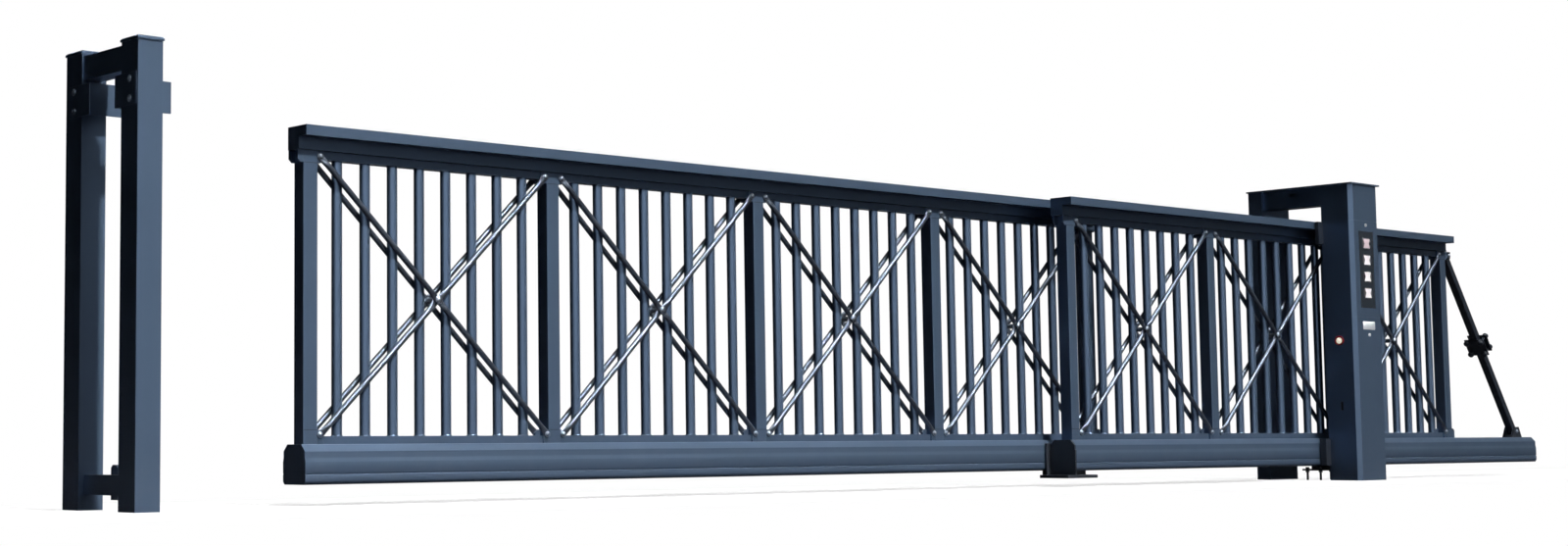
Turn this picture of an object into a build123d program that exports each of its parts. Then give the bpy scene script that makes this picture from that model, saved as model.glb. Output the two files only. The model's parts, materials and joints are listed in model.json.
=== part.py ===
"""Two-leaf telescopic cantilever sliding gate with its catch portal and drive portal.

Millimetres, +Z up, +X along the gate from the catch portal to the drive portal, +Y away from the
street side. The origin is the centre of the drive column's foot, on the ground.
"""
import os

from build123d import *

os.makedirs("parts", exist_ok=True)

# Gate as a whole
ground_clearance = 100
bay_pitch = 1520
far_bays = 4
near_bays = 3
far_front_x = -8514
near_front_x = -2906

# Leaf posts, bars and the rods that brace them
post_width = 80
post_wall = 4
bar_diameter = 50
bar_sides = 10
bars_per_bay = 8
rod_diameter = 22
rod_sides = 8
rod_standoff = 45
rod_root = 18
hub_diameter = 46
hub_thickness = 24
hub_sides = 10
spacer_diameter = 30
tab_width = 34
tab_length = 26
tab_taper = 8
tab_thickness = 6
node_plate_length = 148
node_plate_corner = 16
foot_plate_height = 68
head_plate_height = 60
foot_bolt_height = 45
head_bolt_drop = 28
bolt_to_bolt = 108

# Bottom rail: a C section that is open below, in which the rollers run
rail_width = 190
rail_height = 190
rail_wall = 5
rail_shoulder = 32
rail_shoulder_run = 30
rail_step_height = 127
rail_step = 5
rail_groove_height = 60
rail_groove = 3
rail_foot_bevel = 10
rail_lip_thickness = 6
rail_slot = 74
rail_end_wall = 4
far_rail_overhang = 65
near_rail_overhang = 74
far_tail_length = 2100
near_tail_length = 1216
leaf_to_leaf_gap = 20

# Channels that take the ends of the bars
channel_width = 60
channel_height = 38
channel_wall = 3

# Top rail: a box that overhangs the street side, on a web
leaf_height = 1700
box_height = 50
box_overhang = 76
web_height = 60
web_overhang = 10
web_lip = 4
web_lip_height = 8
top_channel_height = 40
top_rail_wall = 3
far_head_overhang = 76
near_head_overhang = 91

# Catch portal
catch_post_x = 125
catch_post_y = 145
catch_post_wall = 5
catch_face_x = -9621
catch_opening = 357
catch_cap_overhang = 5
catch_cap_height = 17
catch_cap_bevel = 7
catch_beam_inset = 6
catch_beam_depth = 90
catch_beam_wall = 4
catch_beam_top_drop = 12
catch_beam_height = 112
catch_head_room = 144
catch_sill_inset = 30
catch_sill_depth = 52
catch_sill_bottom = 70
catch_sill_height = 90
guide_plate_thickness = 6
guide_plate_length = 284
guide_lap = 20
guide_to_beam = 19
guide_flange_width = 190
guide_side_clearance = 7
guide_rear_clearance = 64
stop_lug_width = 60
stop_lug_thickness = 14
stop_lug_bottom = 48
stop_lug_height = 156
stop_lug_corner = 14

# Drive portal
column_x = 350
column_y = 230
column_wall = 6
column_chamfer = 25
column_head_band = 251
column_to_leaf_gap = 22
rear_column_y = 104
rear_column_gap = 20
fit_gap = 0.3
cover_gap = 3
cover_thickness = 3
cover_to_lamp_panel = 63
lamp_panel_width = 186
lamp_panel_height = 534
lamp_panel_drop = 74
lamp_panel_stand = 2
lamp_width = 104
lamp_height = 74
lamp_pitch = 115
lamp_count = 4
lamp_first_drop = 86
lamp_stand = 3
lamp_corner = 14
lamp_edge = 2.5
lock_diameter = 22
lock_stand = 4
lower_lock_drop = 124
upper_lock_drop = 31
photocell_height = 965
photocell_y = 10
photocell_lens_edge = 5
photocell_diameter = 66
photocell_lens_diameter = 50
photocell_stand = 6
photocell_depth = 20
photocell_sides = 32
cell_seat_size = 90
cell_seat_depth = 20
vent_height = 512
vent_y = 8
vent_width = 20
vent_length = 64
beam_inset = 30
beam_depth = 120
beam_wall = 5
beam_height = 130
beam_head_room = 120
beam_slot_reach = 230
beam_slot_drop = 40
beam_slot_length = 60
beam_slot_width = 28
cap_plate_thickness = 10
cap_plate_overhang = 10

# Roller carriages that stand in the drive portal and carry the near leaf
carriage_length = 350
carriage_width = 150
carriage_pitch = 380
carriage_plate = 12
carriage_plate_height = 66
stud_diameter = 16
stud_sides = 8
stud_inset = 25
nut_width = 26
nut_height = 12
neck_width = 36
neck_length = 300
roller_diameter = 110
roller_sides = 24
roller_width = 28
roller_gap = 6
roller_axle = 24
axle_sides = 8
roller_pitch = 190
roller_roof_clearance = 0.3

# Link between the leaves: a plate round the far rail and the rollers that carry the far leaf
link_plate_thickness = 14
link_sole_thickness = 20
link_sole_length = 300
link_sole_lead = 90
link_sole_gap = 26
link_neck_length = 190
collar_length = 60
collar_clearance = 5
collar_drop = 3

# Guide blocks where the near leaf enters the drive portal
guide_block_length = 60
guide_block_lap = 12
guide_block_clearance = 8
upper_block_height = 154
upper_block_drop = 2
lower_block_inset = 4

# Strut behind the near leaf, held between ears at its head and its foot
strut_size = 50
strut_wall = 4
strut_play = 0.3
strut_head_reach = 91
strut_head_drop = 35
strut_foot_setback = 186
strut_foot_height = 47
strut_end_margin = 12
strut_ear_thickness = 12
head_ear_reach = 118
foot_ear_base = 150
foot_ear_top = 66
foot_ear_height = 80
clamp_share = 0.5
clamp_length = 140
clamp_width = 150
clamp_plate = 10
clamp_bolt_pitch = 100
clamp_bolt_spread = 106
clamp_bolt_diameter = 16
clamp_bolt_sides = 6
clamp_knob_diameter = 44
clamp_knob_height = 22
clamp_knob_sides = 10

# Places that follow from the sizes above
diagonal = 2**0.5
rail_top = ground_clearance + rail_height
bar_foot = rail_top + channel_height
top_of_leaf = ground_clearance + leaf_height
box_bottom = top_of_leaf - box_height
web_bottom = box_bottom - web_height
bar_head = web_bottom - top_channel_height
near_y = column_y / 2 + column_to_leaf_gap + box_overhang + post_width / 2
far_y = near_y + rail_width + leaf_to_leaf_gap
clear_gap = (bay_pitch - post_width - bars_per_bay * bar_diameter) / (bars_per_bay + 1)
foot_bolt_z = rail_top + foot_bolt_height
head_bolt_z = web_bottom - head_bolt_drop
catch_beam_bottom = top_of_leaf + catch_head_room
catch_post_height = catch_beam_bottom + catch_beam_height + catch_beam_top_drop
column_front_x = -column_x / 2
column_height = top_of_leaf + beam_head_room + beam_height
upper_cover_top = column_height - column_head_band
lamp_panel_top = upper_cover_top - lamp_panel_drop
lamp_panel_bottom = lamp_panel_top - lamp_panel_height
lower_cover_top = lamp_panel_bottom - cover_to_lamp_panel
ear_gap = strut_size + 2 * strut_play
node_plate_thickness = (post_width - ear_gap) / 2


def label_and_export(builder, name):
    """Label a finished piece and write it as one STEP file."""
    builder.part.label = name
    export_step(builder.part, f"parts/{name}.step")


def rail_half_outline():
    """Right half of the bottom rail's outline, as (y, z) from the middle of its foot."""
    half = rail_width / 2
    upper = half - rail_step
    return [
        (0, rail_height),
        (upper - rail_shoulder_run, rail_height),
        (upper, rail_height - rail_shoulder),
        (upper, rail_step_height + rail_step),
        (half, rail_step_height),
        (half, rail_groove_height + rail_groove),
        (half - rail_groove, rail_groove_height),
        (half, rail_groove_height - rail_groove),
        (half, rail_foot_bevel),
        (half - rail_foot_bevel, 0),
        (0, 0),
    ]


def cavity_half_outline():
    """Right half of the bottom rail's cavity, as (y, z) from the middle of its foot."""
    half = rail_width / 2 - rail_step - rail_wall
    return [
        (0, rail_height - rail_wall),
        (half - rail_shoulder_run, rail_height - rail_wall),
        (half, rail_height - rail_wall - rail_shoulder),
        (half, rail_lip_thickness),
        (0, rail_lip_thickness),
    ]


def mirrored_points(points, centre_y, base_z):
    """The whole outline that a half outline makes with its mirror image about its middle line."""
    right = [(centre_y + y, base_z + z) for y, z in points]
    left = [(centre_y - y, base_z + z) for y, z in reversed(points)]
    return [*right, *left[1:-1]]


def bottom_rail(name, centre_y, start_x, end_x):
    """A C-section rail, open below between its end walls."""
    with BuildPart() as rail:
        with BuildSketch(Plane.YZ.offset(start_x)):
            with BuildLine():
                Polyline(*mirrored_points(rail_half_outline(), centre_y, ground_clearance), close=True)
            make_face()
        extrude(amount=end_x - start_x)
        with BuildSketch(Plane.YZ.offset(start_x + rail_end_wall)):
            with BuildLine():
                Polyline(*mirrored_points(cavity_half_outline(), centre_y, ground_clearance), close=True)
            make_face()
        extrude(amount=end_x - start_x - 2 * rail_end_wall, mode=Mode.SUBTRACT)
        with BuildSketch(Plane.XY.offset(ground_clearance)):
            with Locations(((start_x + end_x) / 2, centre_y)):
                Rectangle(end_x - start_x - 2 * rail_end_wall, rail_slot)
        extrude(amount=rail_lip_thickness, mode=Mode.SUBTRACT)
    label_and_export(rail, name)


def post_positions(first_x, bays):
    """Middle of every post of a leaf."""
    return [first_x + index * bay_pitch for index in range(bays + 1)]


def bay_middles(first_x, bays):
    """Middle of every bay of a leaf."""
    return [first_x + (index + 0.5) * bay_pitch for index in range(bays)]


def top_rail(name, centre_y, first_x, bays, overhang):
    """The head of a leaf: box, web with a lip, and the channels that take the bars."""
    front = centre_y - post_width / 2
    back = centre_y + post_width / 2
    start_x = first_x - overhang
    length = bays * bay_pitch + overhang + post_width / 2
    box_middle = (front - box_overhang + back) / 2
    web_middle = (front - web_overhang + back) / 2
    box_width = back - front + box_overhang
    web_width = back - front + web_overhang
    wall = 2 * top_rail_wall
    with BuildPart() as rail:
        with BuildSketch(Plane.YZ.offset(start_x)):
            with Locations((box_middle, box_bottom + box_height / 2)):
                Rectangle(box_width, box_height)
            with Locations((web_middle, web_bottom + web_height / 2)):
                Rectangle(web_width, web_height)
            with Locations((front - web_overhang, web_bottom + web_lip_height / 2)):
                Rectangle(2 * web_lip, web_lip_height)
        extrude(amount=length)
        with BuildSketch(Plane.YZ.offset(start_x + top_rail_wall)):
            with Locations((box_middle, box_bottom + box_height / 2)):
                Rectangle(box_width - wall, box_height - wall)
            with Locations((web_middle, web_bottom + web_height / 2)):
                Rectangle(web_width - wall, web_height - wall)
        extrude(amount=length - wall, mode=Mode.SUBTRACT)
        for middle_x in bay_middles(first_x, bays):
            channel_start = middle_x - (bay_pitch - node_plate_length) / 2
            with BuildSketch(Plane.YZ.offset(channel_start)):
                with Locations((centre_y, bar_head + top_channel_height / 2)):
                    Rectangle(channel_width, top_channel_height)
                with Locations((centre_y, bar_head + channel_wall + top_channel_height / 2)):
                    Rectangle(channel_width - 2 * channel_wall, top_channel_height, mode=Mode.SUBTRACT)
            extrude(amount=bay_pitch - node_plate_length)
    label_and_export(rail, name)


def bar_channels(name, centre_y, first_x, bays):
    """Channels on the bottom rail, open below, one to a bay, on which the bars stand."""
    with BuildPart() as channels:
        for middle_x in bay_middles(first_x, bays):
            channel_start = middle_x - (bay_pitch - node_plate_length) / 2
            with BuildSketch(Plane.YZ.offset(channel_start)):
                with Locations((centre_y, rail_top + channel_height / 2)):
                    Rectangle(channel_width, channel_height)
                with Locations((centre_y, rail_top - channel_wall + channel_height / 2)):
                    Rectangle(channel_width - 2 * channel_wall, channel_height, mode=Mode.SUBTRACT)
            extrude(amount=bay_pitch - node_plate_length)
    label_and_export(channels, name)


def leaf_posts(name, centre_y, first_x, bays):
    """Square posts with the head and foot plates that the rods are bolted to."""
    plate_backs = (centre_y + post_width / 2, centre_y - post_width / 2 + node_plate_thickness)
    with BuildPart() as posts:
        for post_x in post_positions(first_x, bays):
            with BuildSketch(Plane.XY.offset(rail_top)):
                with Locations((post_x, centre_y)):
                    Rectangle(post_width, post_width)
            extrude(amount=web_bottom - rail_top)
            for plate_back in plate_backs:
                with BuildSketch(Plane.XZ.offset(-plate_back)):
                    with Locations((post_x, rail_top + foot_plate_height / 2)):
                        foot = Rectangle(node_plate_length, foot_plate_height)
                    chamfer(foot.vertices().group_by(Axis.Y)[-1], node_plate_corner)
                extrude(amount=node_plate_thickness)
                with BuildSketch(Plane.XZ.offset(-plate_back)):
                    with Locations((post_x, web_bottom - head_plate_height / 2)):
                        head = Rectangle(node_plate_length, head_plate_height)
                    chamfer(head.vertices().group_by(Axis.Y)[0], node_plate_corner)
                extrude(amount=node_plate_thickness)
            with BuildSketch(Plane.XY.offset(rail_top)):
                with Locations((post_x, centre_y)):
                    Rectangle(post_width - 2 * post_wall, post_width - 2 * post_wall)
            extrude(amount=web_bottom - rail_top, mode=Mode.SUBTRACT)
    label_and_export(posts, name)


def bay_bars(name, centre_y, middle_x):
    """The round bars of one bay, standing on the channel below and held by the one above."""
    with BuildPart() as bars:
        with BuildSketch(Plane.XY.offset(bar_foot)):
            with Locations((middle_x, centre_y)):
                with GridLocations(bar_diameter + clear_gap, 0, bars_per_bay, 1):
                    RegularPolygon(bar_diameter / 2, bar_sides, major_radius=False)
        extrude(amount=bar_head - bar_foot)
    label_and_export(bars, name)


def tab_outline():
    """The flattened end of a half rod, as (along, across) from its bolt."""
    half = tab_width / 2
    root = rod_diameter / 2
    corner = half * (diagonal - 1)
    upper = [(-tab_length, root), (-tab_taper, half), (corner, half), (half, corner)]
    return [*upper, *[(along, -across) for along, across in reversed(upper)]]


def cross_rods(name, centre_y, middle_x):
    """Four half rods on each face of a bay, bolted to the posts and joined through a hub."""
    half_x = bay_pitch / 2 - bolt_to_bolt / 2
    hub_z = (foot_bolt_z + head_bolt_z) / 2
    with BuildPart() as rods:
        for side in (-1, 1):
            axis_y = centre_y + side * rod_standoff
            hub = Vector(middle_x, axis_y, hub_z)
            for end_x in (-half_x, half_x):
                for end_z in (foot_bolt_z, head_bolt_z):
                    bolt = Vector(middle_x + end_x, axis_y, end_z)
                    along = (bolt - hub).normalized()
                    with BuildSketch(Plane(origin=hub + along * rod_root, x_dir=(0, 1, 0), z_dir=along)):
                        RegularPolygon(rod_diameter / 2, rod_sides, major_radius=False)
                    extrude(amount=(bolt - hub).length - rod_root - tab_length)
                    seat = Vector(bolt.X, centre_y + side * post_width / 2, bolt.Z)
                    with BuildSketch(Plane(origin=seat, x_dir=along, z_dir=(0, side, 0))):
                        with BuildLine():
                            Polyline(*tab_outline(), close=True)
                        make_face()
                    extrude(amount=tab_thickness)
            with BuildSketch(Plane.XZ.offset(-axis_y - hub_thickness / 2)):
                with Locations((middle_x, hub_z)):
                    RegularPolygon(hub_diameter / 2, hub_sides)
            extrude(amount=hub_thickness)
        with BuildSketch(Plane.XZ.offset(-centre_y - rod_standoff)):
            with Locations((middle_x, hub_z)):
                RegularPolygon(spacer_diameter / 2, hub_sides)
        extrude(amount=2 * rod_standoff)
    label_and_export(rods, name)


def leaf(prefix, centre_y, first_x, bays, overhangs, tail_length):
    """Everything that one sliding leaf is made of, apart from its link and its strut."""
    rail_overhang, head_overhang = overhangs
    end_x = first_x + bays * bay_pitch + tail_length
    bottom_rail(f"{prefix}_bottom_rail", centre_y, first_x - rail_overhang, end_x)
    bar_channels(f"{prefix}_bar_channels", centre_y, first_x, bays)
    top_rail(f"{prefix}_top_rail", centre_y, first_x, bays, head_overhang)
    leaf_posts(f"{prefix}_posts", centre_y, first_x, bays)
    for number, middle_x in enumerate(bay_middles(first_x, bays), start=1):
        bay_bars(f"{prefix}_bars_{number}", centre_y, middle_x)
        cross_rods(f"{prefix}_cross_rods_{number}", centre_y, middle_x)


far_overhangs = (far_rail_overhang, far_head_overhang)
near_overhangs = (near_rail_overhang, near_head_overhang)
leaf("far", far_y, far_front_x, far_bays, far_overhangs, far_tail_length)
leaf("near", near_y, near_front_x, near_bays, near_overhangs, near_tail_length)

# Link between the leaves
near_rail_start = near_front_x - near_rail_overhang
sole_top = ground_clearance - link_sole_gap
sole_middle_x = near_rail_start - link_sole_lead + link_sole_length / 2
near_neck_x = near_rail_start + rail_end_wall + link_neck_length / 2
collar_back = far_y - rail_width / 2 - collar_clearance
collar_turn_z = rail_top - rail_shoulder - collar_drop
roof_z = rail_top - rail_wall
roller_axle_z = roof_z - roller_roof_clearance - roller_diameter / 2

with BuildPart() as link_bracket:
    with BuildSketch(Plane.XY.offset(sole_top - link_sole_thickness)):
        with Locations((sole_middle_x, (near_y + far_y) / 2)):
            Rectangle(link_sole_length, far_y - near_y + rail_width)
    extrude(amount=link_sole_thickness)
    with BuildSketch(Plane.XY.offset(sole_top)):
        with Locations((near_neck_x, near_y)):
            Rectangle(link_neck_length, neck_width)
    extrude(amount=roof_z - sole_top)
    with BuildSketch(Plane.XY.offset(sole_top)):
        with Locations((sole_middle_x, far_y)):
            Rectangle(neck_length, neck_width)
    extrude(amount=roller_axle_z + roller_axle - sole_top)
    with BuildSketch(Plane.YZ.offset(near_rail_start - collar_length)):
        with BuildLine():
            Polyline(
                (near_y + rail_width / 2, sole_top),
                (collar_back, sole_top),
                (collar_back, collar_turn_z),
                (collar_back + rail_shoulder_run, collar_turn_z + rail_shoulder),
                (near_y + rail_width / 2, collar_turn_z + rail_shoulder),
                close=True,
            )
        make_face()
    extrude(amount=collar_length)
label_and_export(link_bracket, "link_bracket")

with BuildPart() as link_plate:
    with BuildSketch(Plane.YZ.offset(near_rail_start - link_plate_thickness)):
        with BuildLine():
            Polyline(*mirrored_points(rail_half_outline(), near_y, ground_clearance), close=True)
        make_face()
        with Locations((near_y, (sole_top + ground_clearance) / 2)):
            Rectangle(rail_width, ground_clearance - sole_top)
    extrude(amount=link_plate_thickness)
label_and_export(link_plate, "link_plate")


def roller_set(name, centre_y, middle_x):
    """Two axles through a neck, with a roller on each end, inside the bottom rail."""
    axle_reach = neck_width / 2 + roller_gap + roller_width
    with BuildPart() as rollers:
        for roller_x in (middle_x - roller_pitch / 2, middle_x + roller_pitch / 2):
            for near_face in (centre_y - axle_reach, centre_y + neck_width / 2 + roller_gap):
                with BuildSketch(Plane.XZ.offset(-near_face - roller_width)):
                    with Locations((roller_x, roller_axle_z)):
                        RegularPolygon(roller_diameter / 2, roller_sides)
                extrude(amount=roller_width)
            for near_face in (centre_y - axle_reach, centre_y + neck_width / 2):
                with BuildSketch(Plane.XZ.offset(-near_face - roller_gap - roller_width)):
                    with Locations((roller_x, roller_axle_z)):
                        RegularPolygon(roller_axle / 2, axle_sides)
                extrude(amount=roller_gap + roller_width)
    label_and_export(rollers, name)


roller_set("link_rollers", far_y, sole_middle_x)

# Strut behind the near leaf
last_post_x = near_front_x + near_bays * bay_pitch
near_rail_end = last_post_x + near_tail_length
strut_head = Vector(last_post_x + strut_head_reach, near_y, web_bottom - strut_head_drop)
strut_foot = Vector(near_rail_end - strut_foot_setback, near_y, rail_top + strut_foot_height)
strut_line = (strut_foot - strut_head).normalized()
strut_across = Vector(-strut_line.Z, 0, strut_line.X)
strut_length = (strut_foot - strut_head).length
strut_inner = strut_size - 2 * strut_wall

with BuildPart() as tail_strut:
    with BuildSketch(
        Plane(origin=strut_head - strut_line * strut_end_margin, x_dir=(0, 1, 0), z_dir=strut_line)
    ):
        Rectangle(strut_size, strut_size)
        Rectangle(strut_inner, strut_inner, mode=Mode.SUBTRACT)
    extrude(amount=strut_length + 2 * strut_end_margin)
label_and_export(tail_strut, "tail_strut")

ear_start = last_post_x + node_plate_length / 2
with BuildPart() as strut_head_ears:
    with BuildSketch(Plane.XZ.offset(-near_y - post_width / 2)):
        with Locations(((ear_start + last_post_x + head_ear_reach) / 2, web_bottom - head_plate_height / 2)):
            ear = Rectangle(last_post_x + head_ear_reach - ear_start, head_plate_height)
        chamfer(ear.vertices().group_by(Axis.Y)[0].sort_by(Axis.X)[-1], node_plate_corner)
    extrude(amount=post_width)
    with BuildSketch(Plane.XZ.offset(-near_y - ear_gap / 2)):
        with Locations(((ear_start + last_post_x + head_ear_reach) / 2, web_bottom - head_plate_height / 2)):
            Rectangle(last_post_x + head_ear_reach - ear_start, head_plate_height)
    extrude(amount=ear_gap, mode=Mode.SUBTRACT)
label_and_export(strut_head_ears, "strut_head_ears")

with BuildPart() as strut_foot_ears:
    with BuildSketch(Plane.XZ.offset(-near_y - post_width / 2)):
        with BuildLine():
            Polyline(
                (strut_foot.X - foot_ear_base / 2, rail_top),
                (strut_foot.X + foot_ear_base / 2, rail_top),
                (strut_foot.X + foot_ear_top / 2, rail_top + foot_ear_height),
                (strut_foot.X - foot_ear_top / 2, rail_top + foot_ear_height),
                close=True,
            )
        make_face()
    extrude(amount=post_width)
    with BuildSketch(Plane.XZ.offset(-near_y - ear_gap / 2)):
        with Locations((strut_foot.X, rail_top + strut_ear_thickness / 2 + foot_ear_height / 2)):
            Rectangle(foot_ear_base, foot_ear_height - strut_ear_thickness)
    extrude(amount=ear_gap, mode=Mode.SUBTRACT)
label_and_export(strut_foot_ears, "strut_foot_ears")

clamp_middle = strut_head + strut_line * (strut_length * clamp_share)
clamp_grip = strut_size / 2 + strut_play
with BuildPart() as strut_clamp:
    for side in (-1, 1):
        face = clamp_middle + strut_across * (side * clamp_grip)
        with BuildSketch(Plane(origin=face, x_dir=(0, 1, 0), z_dir=strut_across * side)):
            Rectangle(clamp_width, clamp_length)
        extrude(amount=clamp_plate)
        knob_seat = clamp_middle + strut_across * (side * (clamp_grip + clamp_plate))
        with BuildSketch(Plane(origin=knob_seat, x_dir=(0, 1, 0), z_dir=strut_across * side)):
            with GridLocations(clamp_bolt_spread, clamp_bolt_pitch, 2, 2):
                RegularPolygon(clamp_knob_diameter / 2, clamp_knob_sides)
        extrude(amount=clamp_knob_height)
    with BuildSketch(
        Plane(origin=clamp_middle - strut_across * clamp_grip, x_dir=(0, 1, 0), z_dir=strut_across)
    ):
        with GridLocations(clamp_bolt_spread, clamp_bolt_pitch, 2, 2):
            RegularPolygon(clamp_bolt_diameter / 2, clamp_bolt_sides)
    extrude(amount=2 * clamp_grip)
label_and_export(strut_clamp, "strut_clamp")

# Catch portal
catch_middle_x = catch_face_x + catch_post_x / 2
front_post_y = far_y - catch_opening / 2 - catch_post_y / 2
rear_post_y = far_y + catch_opening / 2 + catch_post_y / 2


def catch_post(name, centre_y):
    """A rectangular hollow post."""
    with BuildPart() as post:
        with BuildSketch(Plane.XY):
            with Locations((catch_middle_x, centre_y)):
                Rectangle(catch_post_x, catch_post_y)
                Rectangle(
                    catch_post_x - 2 * catch_post_wall,
                    catch_post_y - 2 * catch_post_wall,
                    mode=Mode.SUBTRACT,
                )
        extrude(amount=catch_post_height)
    label_and_export(post, name)


catch_post("catch_post_front", front_post_y)
catch_post("catch_post_rear", rear_post_y)

with BuildPart() as catch_caps:
    for post_y in (front_post_y, rear_post_y):
        with BuildSketch(Plane.XY.offset(catch_post_height)):
            with Locations((catch_middle_x, post_y)):
                Rectangle(
                    catch_post_x + 2 * catch_cap_overhang,
                    catch_post_y + 2 * catch_cap_overhang,
                )
        extrude(amount=catch_cap_height)
    chamfer(catch_caps.faces().group_by(Axis.Z)[-1].edges(), catch_cap_bevel)
label_and_export(catch_caps, "catch_post_caps")

with BuildPart() as catch_top_beam:
    with BuildSketch(Plane.YZ.offset(catch_face_x + catch_beam_inset)):
        with Locations((far_y, catch_beam_bottom + catch_beam_height / 2)):
            Rectangle(catch_opening, catch_beam_height)
    extrude(amount=catch_beam_depth)
    with BuildSketch(Plane.YZ.offset(catch_face_x + catch_beam_inset + catch_beam_wall)):
        with Locations((far_y, catch_beam_bottom + catch_beam_height / 2)):
            Rectangle(catch_opening, catch_beam_height - 2 * catch_beam_wall)
    extrude(amount=catch_beam_depth - 2 * catch_beam_wall, mode=Mode.SUBTRACT)
label_and_export(catch_top_beam, "catch_top_beam")

sill_x = catch_face_x + catch_sill_inset
with BuildPart() as catch_sill:
    with BuildSketch(Plane.YZ.offset(sill_x)):
        with Locations((far_y, catch_sill_bottom + catch_sill_height / 2)):
            Rectangle(catch_opening, catch_sill_height)
    extrude(amount=catch_sill_depth)
    with BuildSketch(Plane.YZ.offset(sill_x + catch_beam_wall)):
        with Locations((far_y, catch_sill_bottom + catch_sill_height / 2)):
            Rectangle(catch_opening, catch_sill_height - 2 * catch_beam_wall)
    extrude(amount=catch_sill_depth - 2 * catch_beam_wall, mode=Mode.SUBTRACT)
label_and_export(catch_sill, "catch_bottom_beam")

with BuildPart() as stop_lug:
    with BuildSketch(Plane.YZ.offset(sill_x + catch_sill_depth)):
        with Locations((far_y, stop_lug_bottom + stop_lug_height / 2)):
            lug = Rectangle(stop_lug_width, stop_lug_height)
        chamfer(lug.vertices().group_by(Axis.Y)[-1], stop_lug_corner)
    extrude(amount=stop_lug_thickness)
label_and_export(stop_lug, "catch_stop_lug")


guide_plate_bottom = top_of_leaf - guide_lap
guide_plate_height = guide_lap + catch_head_room - guide_to_beam


def catch_guide(name, plate_y, toward_post):
    """An angle on a post's street-side end face: a flange and a long plate beside the gate's head."""
    with BuildPart() as guide:
        with BuildSketch(Plane.XY.offset(guide_plate_bottom)):
            with Locations(
                (
                    catch_face_x - guide_plate_thickness / 2,
                    plate_y + toward_post * guide_flange_width / 2,
                )
            ):
                Rectangle(guide_plate_thickness, guide_flange_width)
        extrude(amount=guide_plate_height)
        with BuildSketch(Plane.XY.offset(guide_plate_bottom)):
            with Locations(
                (
                    catch_face_x + guide_plate_length / 2,
                    plate_y + toward_post * guide_plate_thickness / 2,
                )
            ):
                Rectangle(guide_plate_length, guide_plate_thickness)
        extrude(amount=guide_plate_height)
    label_and_export(guide, name)


guide_front_y = far_y - post_width / 2 - box_overhang - guide_side_clearance
guide_rear_y = far_y + post_width / 2 + guide_rear_clearance
catch_guide("catch_guide_front", guide_front_y, -1)
catch_guide("catch_guide_rear", guide_rear_y, 1)

# Drive portal
rear_column_face = far_y + rail_width / 2 + rear_column_gap
rear_column_middle = rear_column_face + rear_column_y / 2


def column_front(inset):
    """The front line of the drive column's plan, from left to right, moved in by the inset."""
    side = column_x / 2
    corner = side - column_chamfer + inset * (diagonal - 1)
    turn_y = -column_y / 2 + column_chamfer + inset * diagonal
    front_y = -column_y / 2 + inset
    return [(-side, turn_y), (-corner, front_y), (corner, front_y), (side, turn_y)]


def column_back(inset):
    """The back corners of the drive column's plan, from right to left, moved in by the inset."""
    side = column_x / 2 - inset
    return [(side, column_y / 2 - inset), (-side, column_y / 2 - inset)]


def column_cavity(inset):
    """The plan of the hollow that leaves the column's wall inside a front moved in by the inset."""
    left, *front, right = column_front(inset + column_wall)
    side = column_x / 2 - column_wall
    return [(-side, left[1]), *front, (side, right[1]), *column_back(column_wall)]


cover_seat = cover_thickness + fit_gap
cover_face_y = -column_y / 2
cell_x = column_front_x
lamp_panel_middle = (lamp_panel_bottom + lamp_panel_top) / 2
lamp_first_height = lamp_panel_top - lamp_first_drop
lamp_heights = [lamp_first_height - index * lamp_pitch for index in range(lamp_count)]
lower_lock_height = lower_cover_top - lower_lock_drop
upper_lock_height = upper_cover_top - upper_lock_drop

with BuildPart() as drive_column:
    with BuildSketch(Plane.XY):
        with BuildLine():
            Polyline(*column_front(cover_seat), *column_back(0), close=True)
        make_face()
    extrude(amount=upper_cover_top)
    with BuildSketch(Plane.XY.offset(upper_cover_top)):
        with BuildLine():
            Polyline(*column_front(0), *column_back(0), close=True)
        make_face()
    extrude(amount=column_height - upper_cover_top)
    with BuildSketch(Plane.XY):
        with BuildLine():
            Polyline(*column_cavity(cover_seat), close=True)
        make_face()
    extrude(amount=column_height, mode=Mode.SUBTRACT)
    with BuildSketch(Plane.YZ.offset(cell_x)):
        with Locations((photocell_y, photocell_height)):
            Rectangle(cell_seat_size, cell_seat_size)
    extrude(amount=cell_seat_depth)
    with BuildSketch(Plane.YZ.offset(cell_x)):
        with Locations((photocell_y, photocell_height)):
            RegularPolygon(photocell_diameter / 2 + fit_gap, photocell_sides)
    extrude(amount=photocell_depth - photocell_stand, mode=Mode.SUBTRACT)
    with BuildSketch(Plane.YZ.offset(cell_x)):
        with Locations((vent_y, vent_height)):
            SlotOverall(vent_length, vent_width, rotation=90)
    extrude(amount=column_wall, mode=Mode.SUBTRACT)
label_and_export(drive_column, "drive_column")


def service_cover(name, bottom, top, lock_height, window):
    """A sheet cover over the column's front, with a hole for its lock and a window if it has one."""
    with BuildPart() as cover:
        with BuildSketch(Plane.XY.offset(bottom)):
            with BuildLine():
                Polyline(*column_front(0), *reversed(column_front(cover_thickness)), close=True)
            make_face()
        extrude(amount=top - bottom)
        with BuildSketch(Plane.XZ.offset(-cover_face_y - cover_thickness)):
            with Locations((0, lock_height)):
                Circle(lock_diameter / 2 + fit_gap)
            if window:
                with Locations((0, lamp_panel_middle)):
                    Rectangle(lamp_panel_width + 2 * fit_gap, lamp_panel_height + 2 * fit_gap)
        extrude(amount=cover_thickness, mode=Mode.SUBTRACT)
    label_and_export(cover, name)


service_cover("service_cover_lower", 0, lower_cover_top - cover_gap, lower_lock_height, False)
service_cover("service_cover_upper", lower_cover_top, upper_cover_top - cover_gap, upper_lock_height, True)

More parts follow.
